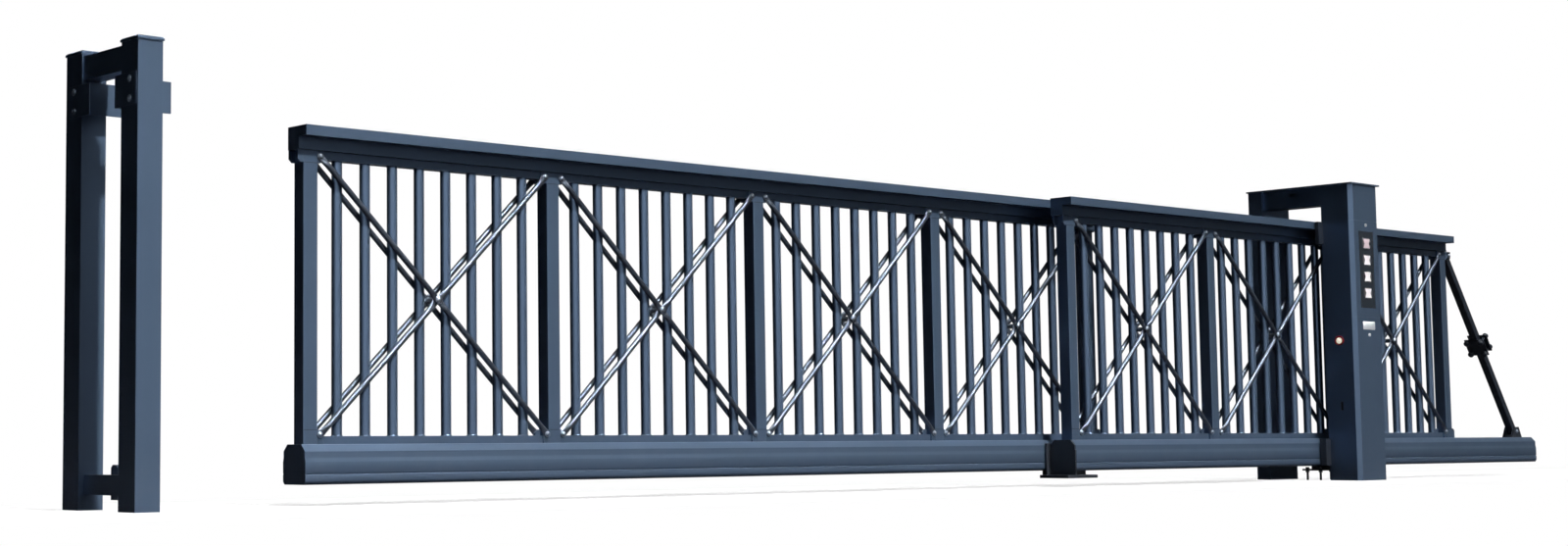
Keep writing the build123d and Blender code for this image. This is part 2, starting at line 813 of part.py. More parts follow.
with BuildPart() as lock_cylinders:
    with BuildSketch(Plane.XZ.offset(-cover_face_y - cover_seat)):
        with Locations((0, lower_lock_height), (0, upper_lock_height)):
            Circle(lock_diameter / 2)
    extrude(amount=cover_seat + lock_stand)
label_and_export(lock_cylinders, "lock_cylinders")


def lamp_outline(middle_z, margin):
    """A lamp's outline with its corners cut, as (x, z), grown all round by the margin."""
    half_x = lamp_width / 2 + margin
    half_z = lamp_height / 2 + margin
    return [
        (side_x, middle_z + side_z)
        for side_x, side_z in (
            (half_x, half_z - lamp_corner),
            (half_x - lamp_corner, half_z),
            (lamp_corner - half_x, half_z),
            (-half_x, half_z - lamp_corner),
            (-half_x, lamp_corner - half_z),
            (lamp_corner - half_x, -half_z),
            (half_x - lamp_corner, -half_z),
            (half_x, lamp_corner - half_z),
        )
    ]


with BuildPart() as lamp_panel:
    with BuildSketch(Plane.XZ.offset(-cover_face_y - cover_seat)):
        with Locations((0, lamp_panel_middle)):
            Rectangle(lamp_panel_width, lamp_panel_height)
        for lamp_z in lamp_heights:
            with BuildLine():
                Polyline(*lamp_outline(lamp_z, fit_gap), close=True)
            make_face(mode=Mode.SUBTRACT)
    extrude(amount=cover_seat + lamp_panel_stand)
label_and_export(lamp_panel, "lamp_panel")

with BuildPart() as signal_lamps:
    for lamp_z in lamp_heights:
        with BuildSketch(Plane.XZ.offset(-cover_face_y - cover_seat)):
            with BuildLine():
                Polyline(*lamp_outline(lamp_z, 0), close=True)
            make_face()
        extrude(amount=cover_seat + lamp_panel_stand + lamp_stand)
    chamfer(signal_lamps.faces().group_by(Axis.Y)[0].edges(), lamp_edge)
label_and_export(signal_lamps, "signal_lamps")

with BuildPart() as photocell_rim:
    with BuildSketch(Plane.YZ.offset(cell_x - photocell_stand)):
        with Locations((photocell_y, photocell_height)):
            RegularPolygon(photocell_diameter / 2, photocell_sides)
            RegularPolygon(photocell_lens_diameter / 2 + fit_gap, photocell_sides, mode=Mode.SUBTRACT)
    extrude(amount=photocell_depth)
label_and_export(photocell_rim, "photocell_rim")

with BuildPart() as photocell_lens:
    with BuildSketch(Plane.YZ.offset(cell_x - photocell_stand)):
        with Locations((photocell_y, photocell_height)):
            RegularPolygon(photocell_lens_diameter / 2, photocell_sides)
    extrude(amount=photocell_depth)
    chamfer(photocell_lens.faces().group_by(Axis.X)[0].edges(), photocell_lens_edge)
label_and_export(photocell_lens, "photocell_lens")


def guide_block(name, running_face_y, bottom, top):
    """A block on the column's end face, beside what runs past it."""
    back_y = column_y / 2 - guide_block_lap
    with BuildPart() as block:
        with BuildSketch(Plane.XY.offset(bottom)):
            with Locations((column_front_x - guide_block_length / 2, (back_y + running_face_y) / 2)):
                Rectangle(guide_block_length, running_face_y - back_y)
        extrude(amount=top - bottom)
    label_and_export(block, name)


head_face_y = near_y - post_width / 2 - box_overhang - guide_block_clearance
rail_face_y = near_y - rail_width / 2 - guide_block_clearance
upper_block_top = top_of_leaf - upper_block_drop
lower_block_bottom = ground_clearance + lower_block_inset
guide_block("upper_guide_block", head_face_y, upper_block_top - upper_block_height, upper_block_top)
guide_block("lower_guide_block", rail_face_y, lower_block_bottom, rail_top - lower_block_inset)

with BuildPart() as drive_rear_column:
    with BuildSketch(Plane.XY):
        with Locations((0, rear_column_middle)):
            Rectangle(column_x, rear_column_y)
            Rectangle(column_x - 2 * column_wall, rear_column_y - 2 * column_wall, mode=Mode.SUBTRACT)
    extrude(amount=column_height)
label_and_export(drive_rear_column, "drive_rear_column")

beam_length = rear_column_face - column_y / 2
with BuildPart() as drive_beam:
    with BuildSketch(Plane.YZ.offset(column_front_x + beam_inset)):
        with Locations((column_y / 2 + beam_length / 2, column_height - beam_height / 2)):
            Rectangle(beam_length, beam_height)
    extrude(amount=beam_depth)
    with BuildSketch(Plane.YZ.offset(column_front_x + beam_inset + beam_wall)):
        with Locations((column_y / 2 + beam_length / 2, column_height - beam_height / 2)):
            Rectangle(beam_length, beam_height - 2 * beam_wall)
    extrude(amount=beam_depth - 2 * beam_wall, mode=Mode.SUBTRACT)
    with BuildSketch(Plane.YZ.offset(column_front_x + beam_inset)):
        with Locations((column_y / 2 + beam_slot_reach, column_height - beam_slot_drop)):
            SlotOverall(beam_slot_length, beam_slot_width)
    extrude(amount=beam_wall, mode=Mode.SUBTRACT)
label_and_export(drive_beam, "drive_beam")

cap_front = -column_y / 2 - cap_plate_overhang
cap_back = rear_column_face + rear_column_y + cap_plate_overhang
with BuildPart() as drive_cap_plate:
    with BuildSketch(Plane.XY.offset(column_height)):
        with Locations((0, (cap_front + cap_back) / 2)):
            Rectangle(column_x + 2 * cap_plate_overhang, cap_back - cap_front)
    extrude(amount=cap_plate_thickness)
label_and_export(drive_cap_plate, "drive_cap_plate")


def carriage(name, middle_x):
    """A base plate on levelling studs, with the neck that reaches up into the rail."""
    neck_top = roller_axle_z + roller_axle
    with BuildPart() as base:
        with BuildSketch(Plane.XY.offset(carriage_plate_height)):
            with Locations((middle_x, near_y)):
                Rectangle(carriage_length, carriage_width)
        extrude(amount=carriage_plate)
        with BuildSketch(Plane.XY):
            with Locations((middle_x, near_y)):
                with GridLocations(carriage_length - 2 * stud_inset, carriage_width - 2 * stud_inset, 2, 2):
                    RegularPolygon(stud_diameter / 2, stud_sides)
        extrude(amount=carriage_plate_height)
        for nut_foot in (carriage_plate_height - nut_height, carriage_plate_height + carriage_plate):
            with BuildSketch(Plane.XY.offset(nut_foot)):
                with Locations((middle_x, near_y)):
                    with GridLocations(
                        carriage_length - 2 * stud_inset, carriage_width - 2 * stud_inset, 2, 2
                    ):
                        RegularPolygon(nut_width / 2, 6)
            extrude(amount=nut_height)
        with BuildSketch(Plane.XY.offset(carriage_plate_height + carriage_plate)):
            with Locations((middle_x, near_y)):
                Rectangle(neck_length, neck_width)
        extrude(amount=neck_top - carriage_plate_height - carriage_plate)
    label_and_export(base, name)


carriage("carriage_front", 0)
carriage("carriage_rear", carriage_pitch)
roller_set("carriage_front_rollers", near_y, 0)
roller_set("carriage_rear_rollers", near_y, carriage_pitch)
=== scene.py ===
"""Dresses the two-leaf sliding gate for its picture: finishes, fixings, welds, lamps and studio."""
import json
import logging
import math
from dataclasses import dataclass, field
from enum import Enum
from functools import cache
from typing import Iterable, Sequence

import bpy
from mathutils import Matrix, Vector


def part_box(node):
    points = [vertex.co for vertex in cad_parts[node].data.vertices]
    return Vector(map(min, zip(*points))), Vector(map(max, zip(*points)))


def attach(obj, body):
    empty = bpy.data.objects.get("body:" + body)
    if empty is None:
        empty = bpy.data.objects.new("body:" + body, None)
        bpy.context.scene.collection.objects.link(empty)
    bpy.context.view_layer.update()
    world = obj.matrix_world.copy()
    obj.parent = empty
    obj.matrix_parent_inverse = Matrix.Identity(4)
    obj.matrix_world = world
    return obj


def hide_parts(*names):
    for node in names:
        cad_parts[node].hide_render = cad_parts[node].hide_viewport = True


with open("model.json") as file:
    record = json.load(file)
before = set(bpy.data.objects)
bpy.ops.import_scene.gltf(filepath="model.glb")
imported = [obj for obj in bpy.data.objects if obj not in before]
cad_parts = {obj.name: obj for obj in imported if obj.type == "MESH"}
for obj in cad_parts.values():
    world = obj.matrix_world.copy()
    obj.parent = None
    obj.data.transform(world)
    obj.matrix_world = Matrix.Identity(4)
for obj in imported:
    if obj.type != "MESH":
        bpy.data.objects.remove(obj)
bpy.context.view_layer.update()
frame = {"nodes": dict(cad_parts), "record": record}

logging.basicConfig(level=logging.INFO, format="%(message)s")
log = logging.getLogger("gate")

Colour = tuple[float, float, float]
Point = tuple[float, float, float]
Outline = Sequence[tuple[float, float]]


class Body(str, Enum):
    """The moving bodies of the gate."""

    PORTALS = "portals"
    NEAR_LEAF = "near_leaf"
    FAR_LEAF = "far_leaf"


class Slot(str, Enum):
    """The material slots of the record."""

    FRAME = "frame_paint"
    BLACK = "black_paint"
    ROD = "rod_steel"
    ROLLER = "roller_plastic"
    PANEL = "panel_gloss"
    LAMP = "lamp_lens"
    CHROME = "lock_chrome"
    RIM = "cell_rim"
    CELL = "cell_lens"


class Side(Enum):
    """The two faces of a leaf, seen along Y."""

    STREET = -1
    YARD = 1


# Shader graphs

class Graph:
    """Adds and links the nodes of one node tree."""

    def __init__(self, tree: bpy.types.NodeTree) -> None:
        """Take over a node tree.

        Args:
            tree: The tree that the nodes go into.
        """
        self.tree = tree

    def add(self, kind: str, **settings: object) -> bpy.types.Node:
        """Add a node.

        Args:
            kind: The node's type name.
            **settings: Properties of the node to set.

        Returns:
            The new node.
        """
        node = self.tree.nodes.new(kind)
        for key, value in settings.items():
            setattr(node, key, value)
        return node

    def feed(self, source: object, target: bpy.types.NodeSocket) -> None:
        """Link a socket to an input, or set the input to a constant.

        Args:
            source: An output socket, a number or a tuple.
            target: The input that takes it.
        """
        if isinstance(source, bpy.types.NodeSocket):
            self.tree.links.new(source, target)
        else:
            target.default_value = source

    def math(
        self, operation: str, first: object, second: object = 0.5, third: object = 0.5
    ) -> bpy.types.NodeSocket:
        """Do one sum.

        Args:
            operation: The maths node's operation.
            first: First operand.
            second: Second operand.
            third: Third operand.

        Returns:
            The result's socket.
        """
        node = self.add("ShaderNodeMath", operation=operation)
        for operand, socket in zip((first, second, third), node.inputs):
            self.feed(operand, socket)
        return node.outputs[0]

    def noise(self, vector: object, scale: object, detail: float) -> bpy.types.NodeSocket:
        """Make a cloudy noise.

        Args:
            vector: Coordinates socket.
            scale: Clouds to the metre.
            detail: Octaves.

        Returns:
            The noise value's socket.
        """
        node = self.add("ShaderNodeTexNoise")
        self.feed(vector, node.inputs["Vector"])
        self.feed(scale, node.inputs["Scale"])
        self.feed(detail, node.inputs["Detail"])
        return node.outputs[0]

    def spread(
        self, value: object, low: float, high: float, to_low: float, to_high: float
    ) -> bpy.types.NodeSocket:
        """Map a range of values onto another, held at its ends.

        Args:
            value: The value to map.
            low: Where the range starts.
            high: Where the range ends.
            to_low: What the start becomes.
            to_high: What the end becomes.

        Returns:
            The mapped value's socket.
        """
        node = self.add("ShaderNodeMapRange", clamp=True)
        for source, name in zip(
            (value, low, high, to_low, to_high),
            ("Value", "From Min", "From Max", "To Min", "To Max"),
        ):
            self.feed(source, node.inputs[name])
        return node.outputs["Result"]

    def blend(self, share: object, first: object, second: object, mode: str = "MIX") -> bpy.types.NodeSocket:
        """Mix two colours.

        Args:
            share: How much of the second colour.
            first: First colour.
            second: Second colour.
            mode: Blend mode.

        Returns:
            The mixed colour's socket.
        """
        node = self.add("ShaderNodeMix", data_type="RGBA", blend_type=mode)
        self.feed(share, node.inputs[0])
        self.feed(first, node.inputs[6])
        self.feed(second, node.inputs[7])
        return node.outputs[2]

    def split(self, vector: bpy.types.NodeSocket) -> bpy.types.Node:
        """Separate a vector into its coordinates.

        Args:
            vector: The vector's socket.

        Returns:
            The node with the outputs X, Y and Z.
        """
        node = self.add("ShaderNodeSeparateXYZ")
        self.feed(vector, node.inputs[0])
        return node

    def shader(self, kind: str, **values: object) -> bpy.types.NodeSocket:
        """Add a simple shader.

        Args:
            kind: The node's type name.
            **values: What goes into its inputs.

        Returns:
            The shader's socket.
        """
        node = self.add(kind)
        for name, value in values.items():
            self.feed(value, node.inputs[name])
        return node.outputs[0]

    def either(
        self, share: object, first: bpy.types.NodeSocket, second: bpy.types.NodeSocket
    ) -> bpy.types.NodeSocket:
        """Mix two shaders.

        Args:
            share: How much of the second shader.
            first: First shader.
            second: Second shader.

        Returns:
            The mixed shader's socket.
        """
        node = self.add("ShaderNodeMixShader")
        for source, socket in zip((share, first, second), node.inputs):
            self.feed(source, socket)
        return node.outputs[0]


class Effects:
    """Shader node groups that several finishes share."""

    slow_clouds = 1.7
    slow_share = 0.6
    fine_clouds = 38.0
    fine_share = 0.4
    drift_gain = 4.0
    # The next three settings shape the lighter edges: a painted highlight along bevels, broken by noise so
    # that it reads partly as edge wear.
    edge_turn = (0.995, 0.86, 0.0, 1.0)
    wear_and_highlight_clouds = 26.0
    wear_and_highlight_range = (0.3, 0.62, 0.45, 1.0)
    dust_clouds = 9.0
    dust_range = (0.35, 0.7, 0.15, 1.0)
    ripple_clouds = 14.0
    ripple_share = 0.6

    @classmethod
    def group(
        cls, name: str, inputs: dict[str, tuple[str, object]], outputs: dict[str, str]
    ) -> tuple[Graph, bpy.types.Node, bpy.types.Node]:
        """Open a new node group.

        Args:
            name: The group's name.
            inputs: Socket type and default value by input name.
            outputs: Socket type by output name.

        Returns:
            The group's graph, its input node and its output node.
        """
        tree = bpy.data.node_groups.new(name, "ShaderNodeTree")
        for key, (kind, value) in inputs.items():
            socket = tree.interface.new_socket(name=key, in_out="INPUT", socket_type=kind)
            socket.default_value = value
        for key, kind in outputs.items():
            tree.interface.new_socket(name=key, in_out="OUTPUT", socket_type=kind)
        graph = Graph(tree)
        return graph, graph.add("NodeGroupInput"), graph.add("NodeGroupOutput")

    @classmethod
    @cache
    def tone_drift(cls) -> bpy.types.NodeTree:
        """Slow and fine drift of a colour over a surface.

        Returns:
            The node group, with inputs Colour and Amount and output Colour.
        """
        graph, source, sink = cls.group(
            "tone drift",
            {"Colour": ("NodeSocketColor", (0.5, 0.5, 0.5, 1)), "Amount": ("NodeSocketFloat", 0.1)},
            {"Colour": "NodeSocketColor"},
        )
        place = graph.add("ShaderNodeTexCoord").outputs["Object"]
        slow = graph.noise(place, cls.slow_clouds, 3)
        fine = graph.noise(place, cls.fine_clouds, 4)
        slow = graph.math("MULTIPLY", slow, cls.slow_share)
        both = graph.math("MULTIPLY_ADD", fine, cls.fine_share, slow)
        swing = graph.math("MULTIPLY", graph.math("SUBTRACT", both, 0.5), source.outputs["Amount"])
        factor = graph.math("MULTIPLY_ADD", swing, cls.drift_gain, 1.0)
        shade = graph.add("ShaderNodeCombineColor")
        for channel in range(3):
            graph.feed(factor, shade.inputs[channel])
        mixed = graph.blend(1.0, source.outputs["Colour"], shade.outputs[0], "MULTIPLY")
        graph.feed(mixed, sink.inputs["Colour"])
        return graph.tree

    @classmethod
    @cache
    def edge_highlight_mask(cls) -> bpy.types.NodeTree:
        """A mask that is white along edges and broken by noise: it lays the lighter edges, a painted
        highlight that reads partly as edge wear.

        Returns:
            The node group, with input Width and output Mask.
        """
        graph, source, sink = cls.group(
            "edge mask", {"Width": ("NodeSocketFloat", 0.002)}, {"Mask": "NodeSocketFloat"}
        )
        rounded = graph.add("ShaderNodeBevel", samples=4)
        graph.feed(source.outputs["Width"], rounded.inputs["Radius"])
        normal = graph.add("ShaderNodeNewGeometry").outputs["Normal"]
        turn = graph.add("ShaderNodeVectorMath", operation="DOT_PRODUCT")
        graph.feed(rounded.outputs[0], turn.inputs[0])
        graph.feed(normal, turn.inputs[1])
        edge = graph.spread(turn.outputs["Value"], *cls.edge_turn)
        place = graph.add("ShaderNodeTexCoord").outputs["Object"]
        broken = graph.spread(graph.noise(place, cls.wear_and_highlight_clouds, 4), *cls.wear_and_highlight_range)
        graph.feed(graph.math("MULTIPLY", edge, broken), sink.inputs["Mask"])
        return graph.tree

    @classmethod
    @cache
    def road_dust(cls) -> bpy.types.NodeTree:
        """A mask of dust that settles near the ground.

        Returns:
            The node group, with input Reach and output Mask.
        """
        graph, source, sink = cls.group(
            "road dust", {"Reach": ("NodeSocketFloat", 0.4)}, {"Mask": "NodeSocketFloat"}
        )
        place = graph.add("ShaderNodeNewGeometry").outputs["Position"]
        height = graph.math("DIVIDE", graph.split(place).outputs["Z"], source.outputs["Reach"])
        low = graph.spread(height, 0.0, 1.0, 1.0, 0.0)
        cloud = graph.spread(graph.noise(place, cls.dust_clouds, 5), *cls.dust_range)
        graph.feed(graph.math("MULTIPLY", low, cloud), sink.inputs["Mask"])
        return graph.tree

    @classmethod
    @cache
    def grain(cls) -> bpy.types.NodeTree:
        """The height of a fine grain with a slower ripple under it.

        Returns:
            The node group, with input Scale and output Height.
        """
        graph, source, sink = cls.group(
            "grain", {"Scale": ("NodeSocketFloat", 300.0)}, {"Height": "NodeSocketFloat"}
        )
        place = graph.add("ShaderNodeTexCoord").outputs["Object"]
        fine = graph.noise(place, source.outputs["Scale"], 2)
        ripple = graph.noise(place, cls.ripple_clouds, 2)
        graph.feed(graph.math("MULTIPLY_ADD", ripple, cls.ripple_share, fine), sink.inputs["Height"])
        return graph.tree


@dataclass(frozen=True)
class Finish:
    """A surface finish and the slot of the record that it belongs to."""

    name: str
    slot: Slot
    colour: Colour
    roughness: float = 0.5
    metallic: float = 0.0
    coat: float = 0.0
    coat_roughness: float = 0.15
    drift: float = 0.05
    rubbed_clouds: float = 6.0
    rubbed_range: tuple[float, float] = (0.3, 0.7)
    rubbed_swing: float = 0.15
    grain_scale: float = 300.0
    grain_strength: float = 0.35
    relief: float = 0.0002
    # Lighter edges: a painted highlight along bevels that reads partly as edge wear.
    edge_highlight_colour: Colour = (0.5, 0.5, 0.5)
    edge_highlight_share: float = 0.5
    edge_width: float = 0.002
    dust_share: float = 0.0
    dust_colour: Colour = (0.32, 0.3, 0.27)
    dust_reach: float = 0.5
    glow: float = 0.0

    def material(self) -> bpy.types.Material:
        """Make the finish's material, or fetch it if it is made.

        Returns:
            The material.
        """
        ready = bpy.data.materials.get(self.name)
        if ready is not None:
            return ready
        material = bpy.data.materials.new(self.name)
        material.use_nodes = True
        material.node_tree.nodes.clear()
        graph = Graph(material.node_tree)
        shader = graph.add("ShaderNodeBsdfPrincipled")
        graph.feed(self.metallic, shader.inputs["Metallic"])
        graph.feed(self.coat, shader.inputs["Coat Weight"])
        graph.feed(self.coat_roughness, shader.inputs["Coat Roughness"])
        graph.feed(self.tinted(graph), shader.inputs["Base Color"])
        graph.feed(self.worn(graph), shader.inputs["Roughness"])
        graph.feed(self.relieved(graph), shader.inputs["Normal"])
        # Glow is painted light: the lamp and photocell lenses shine by emission, not because anything in
        # them is lit.
        if self.glow:
            graph.feed((*self.colour, 1), shader.inputs["Emission Color"])
            graph.feed(self.glow, shader.inputs["Emission Strength"])
        sink = graph.add("ShaderNodeOutputMaterial")
        graph.feed(shader.outputs[0], sink.inputs["Surface"])
        log.info("finish %s", self.name)
        return material

    def called(self, graph: Graph, tree: bpy.types.NodeTree, **values: object) -> bpy.types.NodeSocket:
        """Use one of the shared effects.

        Args:
            graph: The material's graph.
            tree: The effect's node group.
            **values: What goes into the group's inputs.

        Returns:
            The group's first output.
        """
        node = graph.add("ShaderNodeGroup", node_tree=tree)
        for key, value in values.items():
            graph.feed(value, node.inputs[key])
        return node.outputs[0]

    def tinted(self, graph: Graph) -> bpy.types.NodeSocket:
        """The finish's colour with its drift, its lighter edges (a painted highlight that reads partly as
        edge wear) and dust.

        Args:
            graph: The material's graph.

        Returns:
            The colour's socket.
        """
        colour = self.called(graph, Effects.tone_drift(), Colour=(*self.colour, 1), Amount=self.drift)
        # Lighter edges: painted highlight, broken by noise into a partly worn look.
        if self.edge_highlight_share:
            mask = self.called(graph, Effects.edge_highlight_mask(), Width=self.edge_width)
            share = graph.math("MULTIPLY", mask, self.edge_highlight_share)
            colour = graph.blend(share, colour, (*self.edge_highlight_colour, 1))
        if self.dust_share:
            mask = self.called(graph, Effects.road_dust(), Reach=self.dust_reach)
            share = graph.math("MULTIPLY", mask, self.dust_share)
            colour = graph.blend(share, colour, (*self.dust_colour, 1))
        return colour

    def worn(self, graph: Graph) -> bpy.types.NodeSocket:
        """The finish's roughness, uneven as if it were rubbed.

        Args:
            graph: The material's graph.

        Returns:
            The roughness's socket.
        """
        place = graph.add("ShaderNodeTexCoord").outputs["Object"]
        cloud = graph.noise(place, self.rubbed_clouds, 4)
        smooth = self.roughness * (1 - self.rubbed_swing)
        rough = min(1.0, self.roughness * (1 + self.rubbed_swing))
        return graph.spread(cloud, *self.rubbed_range, smooth, rough)

    def relieved(self, graph: Graph) -> bpy.types.NodeSocket:
        """The finish's normal with its grain.

        Args:
            graph: The material's graph.

        Returns:
            The normal's socket.
        """
        height = self.called(graph, Effects.grain(), Scale=self.grain_scale)
        bump = graph.add("ShaderNodeBump")
        graph.feed(self.grain_strength, bump.inputs["Strength"])
        graph.feed(self.relief, bump.inputs["Distance"])
        graph.feed(height, bump.inputs["Height"])
        return bump.outputs[0]


# Each finish's edge colour is lighter than its body: a painted edge highlight that reads partly as wear.
FRAME_PAINT = Finish(
    "frame powder coat", Slot.FRAME, (0.085, 0.128, 0.2), roughness=0.33, metallic=0.55, drift=0.03,
    edge_highlight_colour=(0.2, 0.26, 0.36), edge_highlight_share=0.5, dust_share=0.05,
)
BLACK_PAINT = Finish(
    "black satin paint", Slot.BLACK, (0.012, 0.016, 0.024), roughness=0.4, drift=0.06,
    edge_highlight_colour=(0.05, 0.06, 0.08), dust_share=0.05,
)
ROD_STEEL = Finish(
    "satin rod steel", Slot.ROD, (0.1, 0.118, 0.15), roughness=0.44, metallic=0.9, drift=0.03,
    grain_scale=180.0, relief=0.00005, edge_highlight_share=0.05, edge_highlight_colour=(0.2, 0.23, 0.28),
)
BOLT_STEEL = Finish(
    "zinc bolt steel", Slot.ROD, (0.3, 0.34, 0.4), roughness=0.32, metallic=1.0, drift=0.05,
    relief=0.0001, edge_highlight_share=0.2, edge_highlight_colour=(0.7, 0.72, 0.75),
)
PAINTED_BOLT = Finish(
    "painted bolt", Slot.FRAME, (0.3, 0.36, 0.46), roughness=0.3, metallic=0.7, drift=0.04, edge_highlight_share=0.2,
)
ROLLER = Finish("roller plastic", Slot.ROLLER, (0.04, 0.04, 0.045), roughness=0.55, dust_share=0.2)
RUBBER = Finish("stop rubber", Slot.BLACK, (0.015, 0.015, 0.016), roughness=0.8, dust_share=0.15)
PANEL_GLOSS = Finish(
    "gloss panel", Slot.PANEL, (0.014, 0.02, 0.028), roughness=0.16, coat=0.4, drift=0.04,
    relief=0.00005, edge_highlight_share=0.3, edge_highlight_colour=(0.1, 0.12, 0.15),
)
# The lamp lenses glow: painted highlight for the bright hourglass reflections on the unlit lamps.
LAMP_LENS = Finish(
    "lamp lens", Slot.LAMP, (0.78, 0.74, 0.75), roughness=0.12, coat=0.5, drift=0.03,
    relief=0.0001, edge_highlight_share=0.0, glow=0.35,
)
LAMP_WARM = Finish(
    "warm lamp lens", Slot.LAMP, (0.62, 0.5, 0.54), roughness=0.12, coat=0.5, drift=0.03,
    relief=0.0001, edge_highlight_share=0.0, glow=0.2,
)
# Near-black lamp bodies: painted shade on the lenses' darker sides, around the painted highlights.
LAMP_PAINTED_SHADE = Finish("lamp painted shade", Slot.LAMP, (0.02, 0.015, 0.018), roughness=0.3, edge_highlight_share=0.0)
LOCK_NICKEL = Finish(
    "lock nickel", Slot.CHROME, (0.85, 0.86, 0.88), roughness=0.35, metallic=0.3, drift=0.03, relief=0.00005
)
RED_RIM = Finish("red rim plastic", Slot.RIM, (0.42, 0.02, 0.03), roughness=0.25, coat=0.4, edge_highlight_share=0.2)
# The cream lens glows: a painted highlight that makes the photocell's lens read bright; nothing in it is
# lit.
CREAM_LENS = Finish(
    "cream lens", Slot.CELL, (0.8, 0.7, 0.56), roughness=0.2, coat=0.6, drift=0.06, edge_highlight_share=0.0, glow=0.9
)
LABEL = Finish("blank label film", Slot.FRAME, (0.58, 0.61, 0.65), roughness=0.4, drift=0.05, edge_highlight_share=0.0)
# Black for the real joint lines, and painted shade in the key slots and behind the vent louvres.
BLACK_SEAM_AND_SHADE = Finish("black seams and painted shade", Slot.BLACK, (0.01, 0.012, 0.016), roughness=0.7, edge_highlight_share=0.0)

FINISH_OF_SLOT: dict[Slot, Finish] = {
    Slot.FRAME: FRAME_PAINT,
    Slot.BLACK: BLACK_PAINT,
    Slot.ROD: ROD_STEEL,
    Slot.ROLLER: ROLLER,
    Slot.PANEL: PANEL_GLOSS,
    Slot.LAMP: LAMP_LENS,
    Slot.CHROME: LOCK_NICKEL,
    Slot.RIM: RED_RIM,
    Slot.CELL: CREAM_LENS,
}


# Geometry

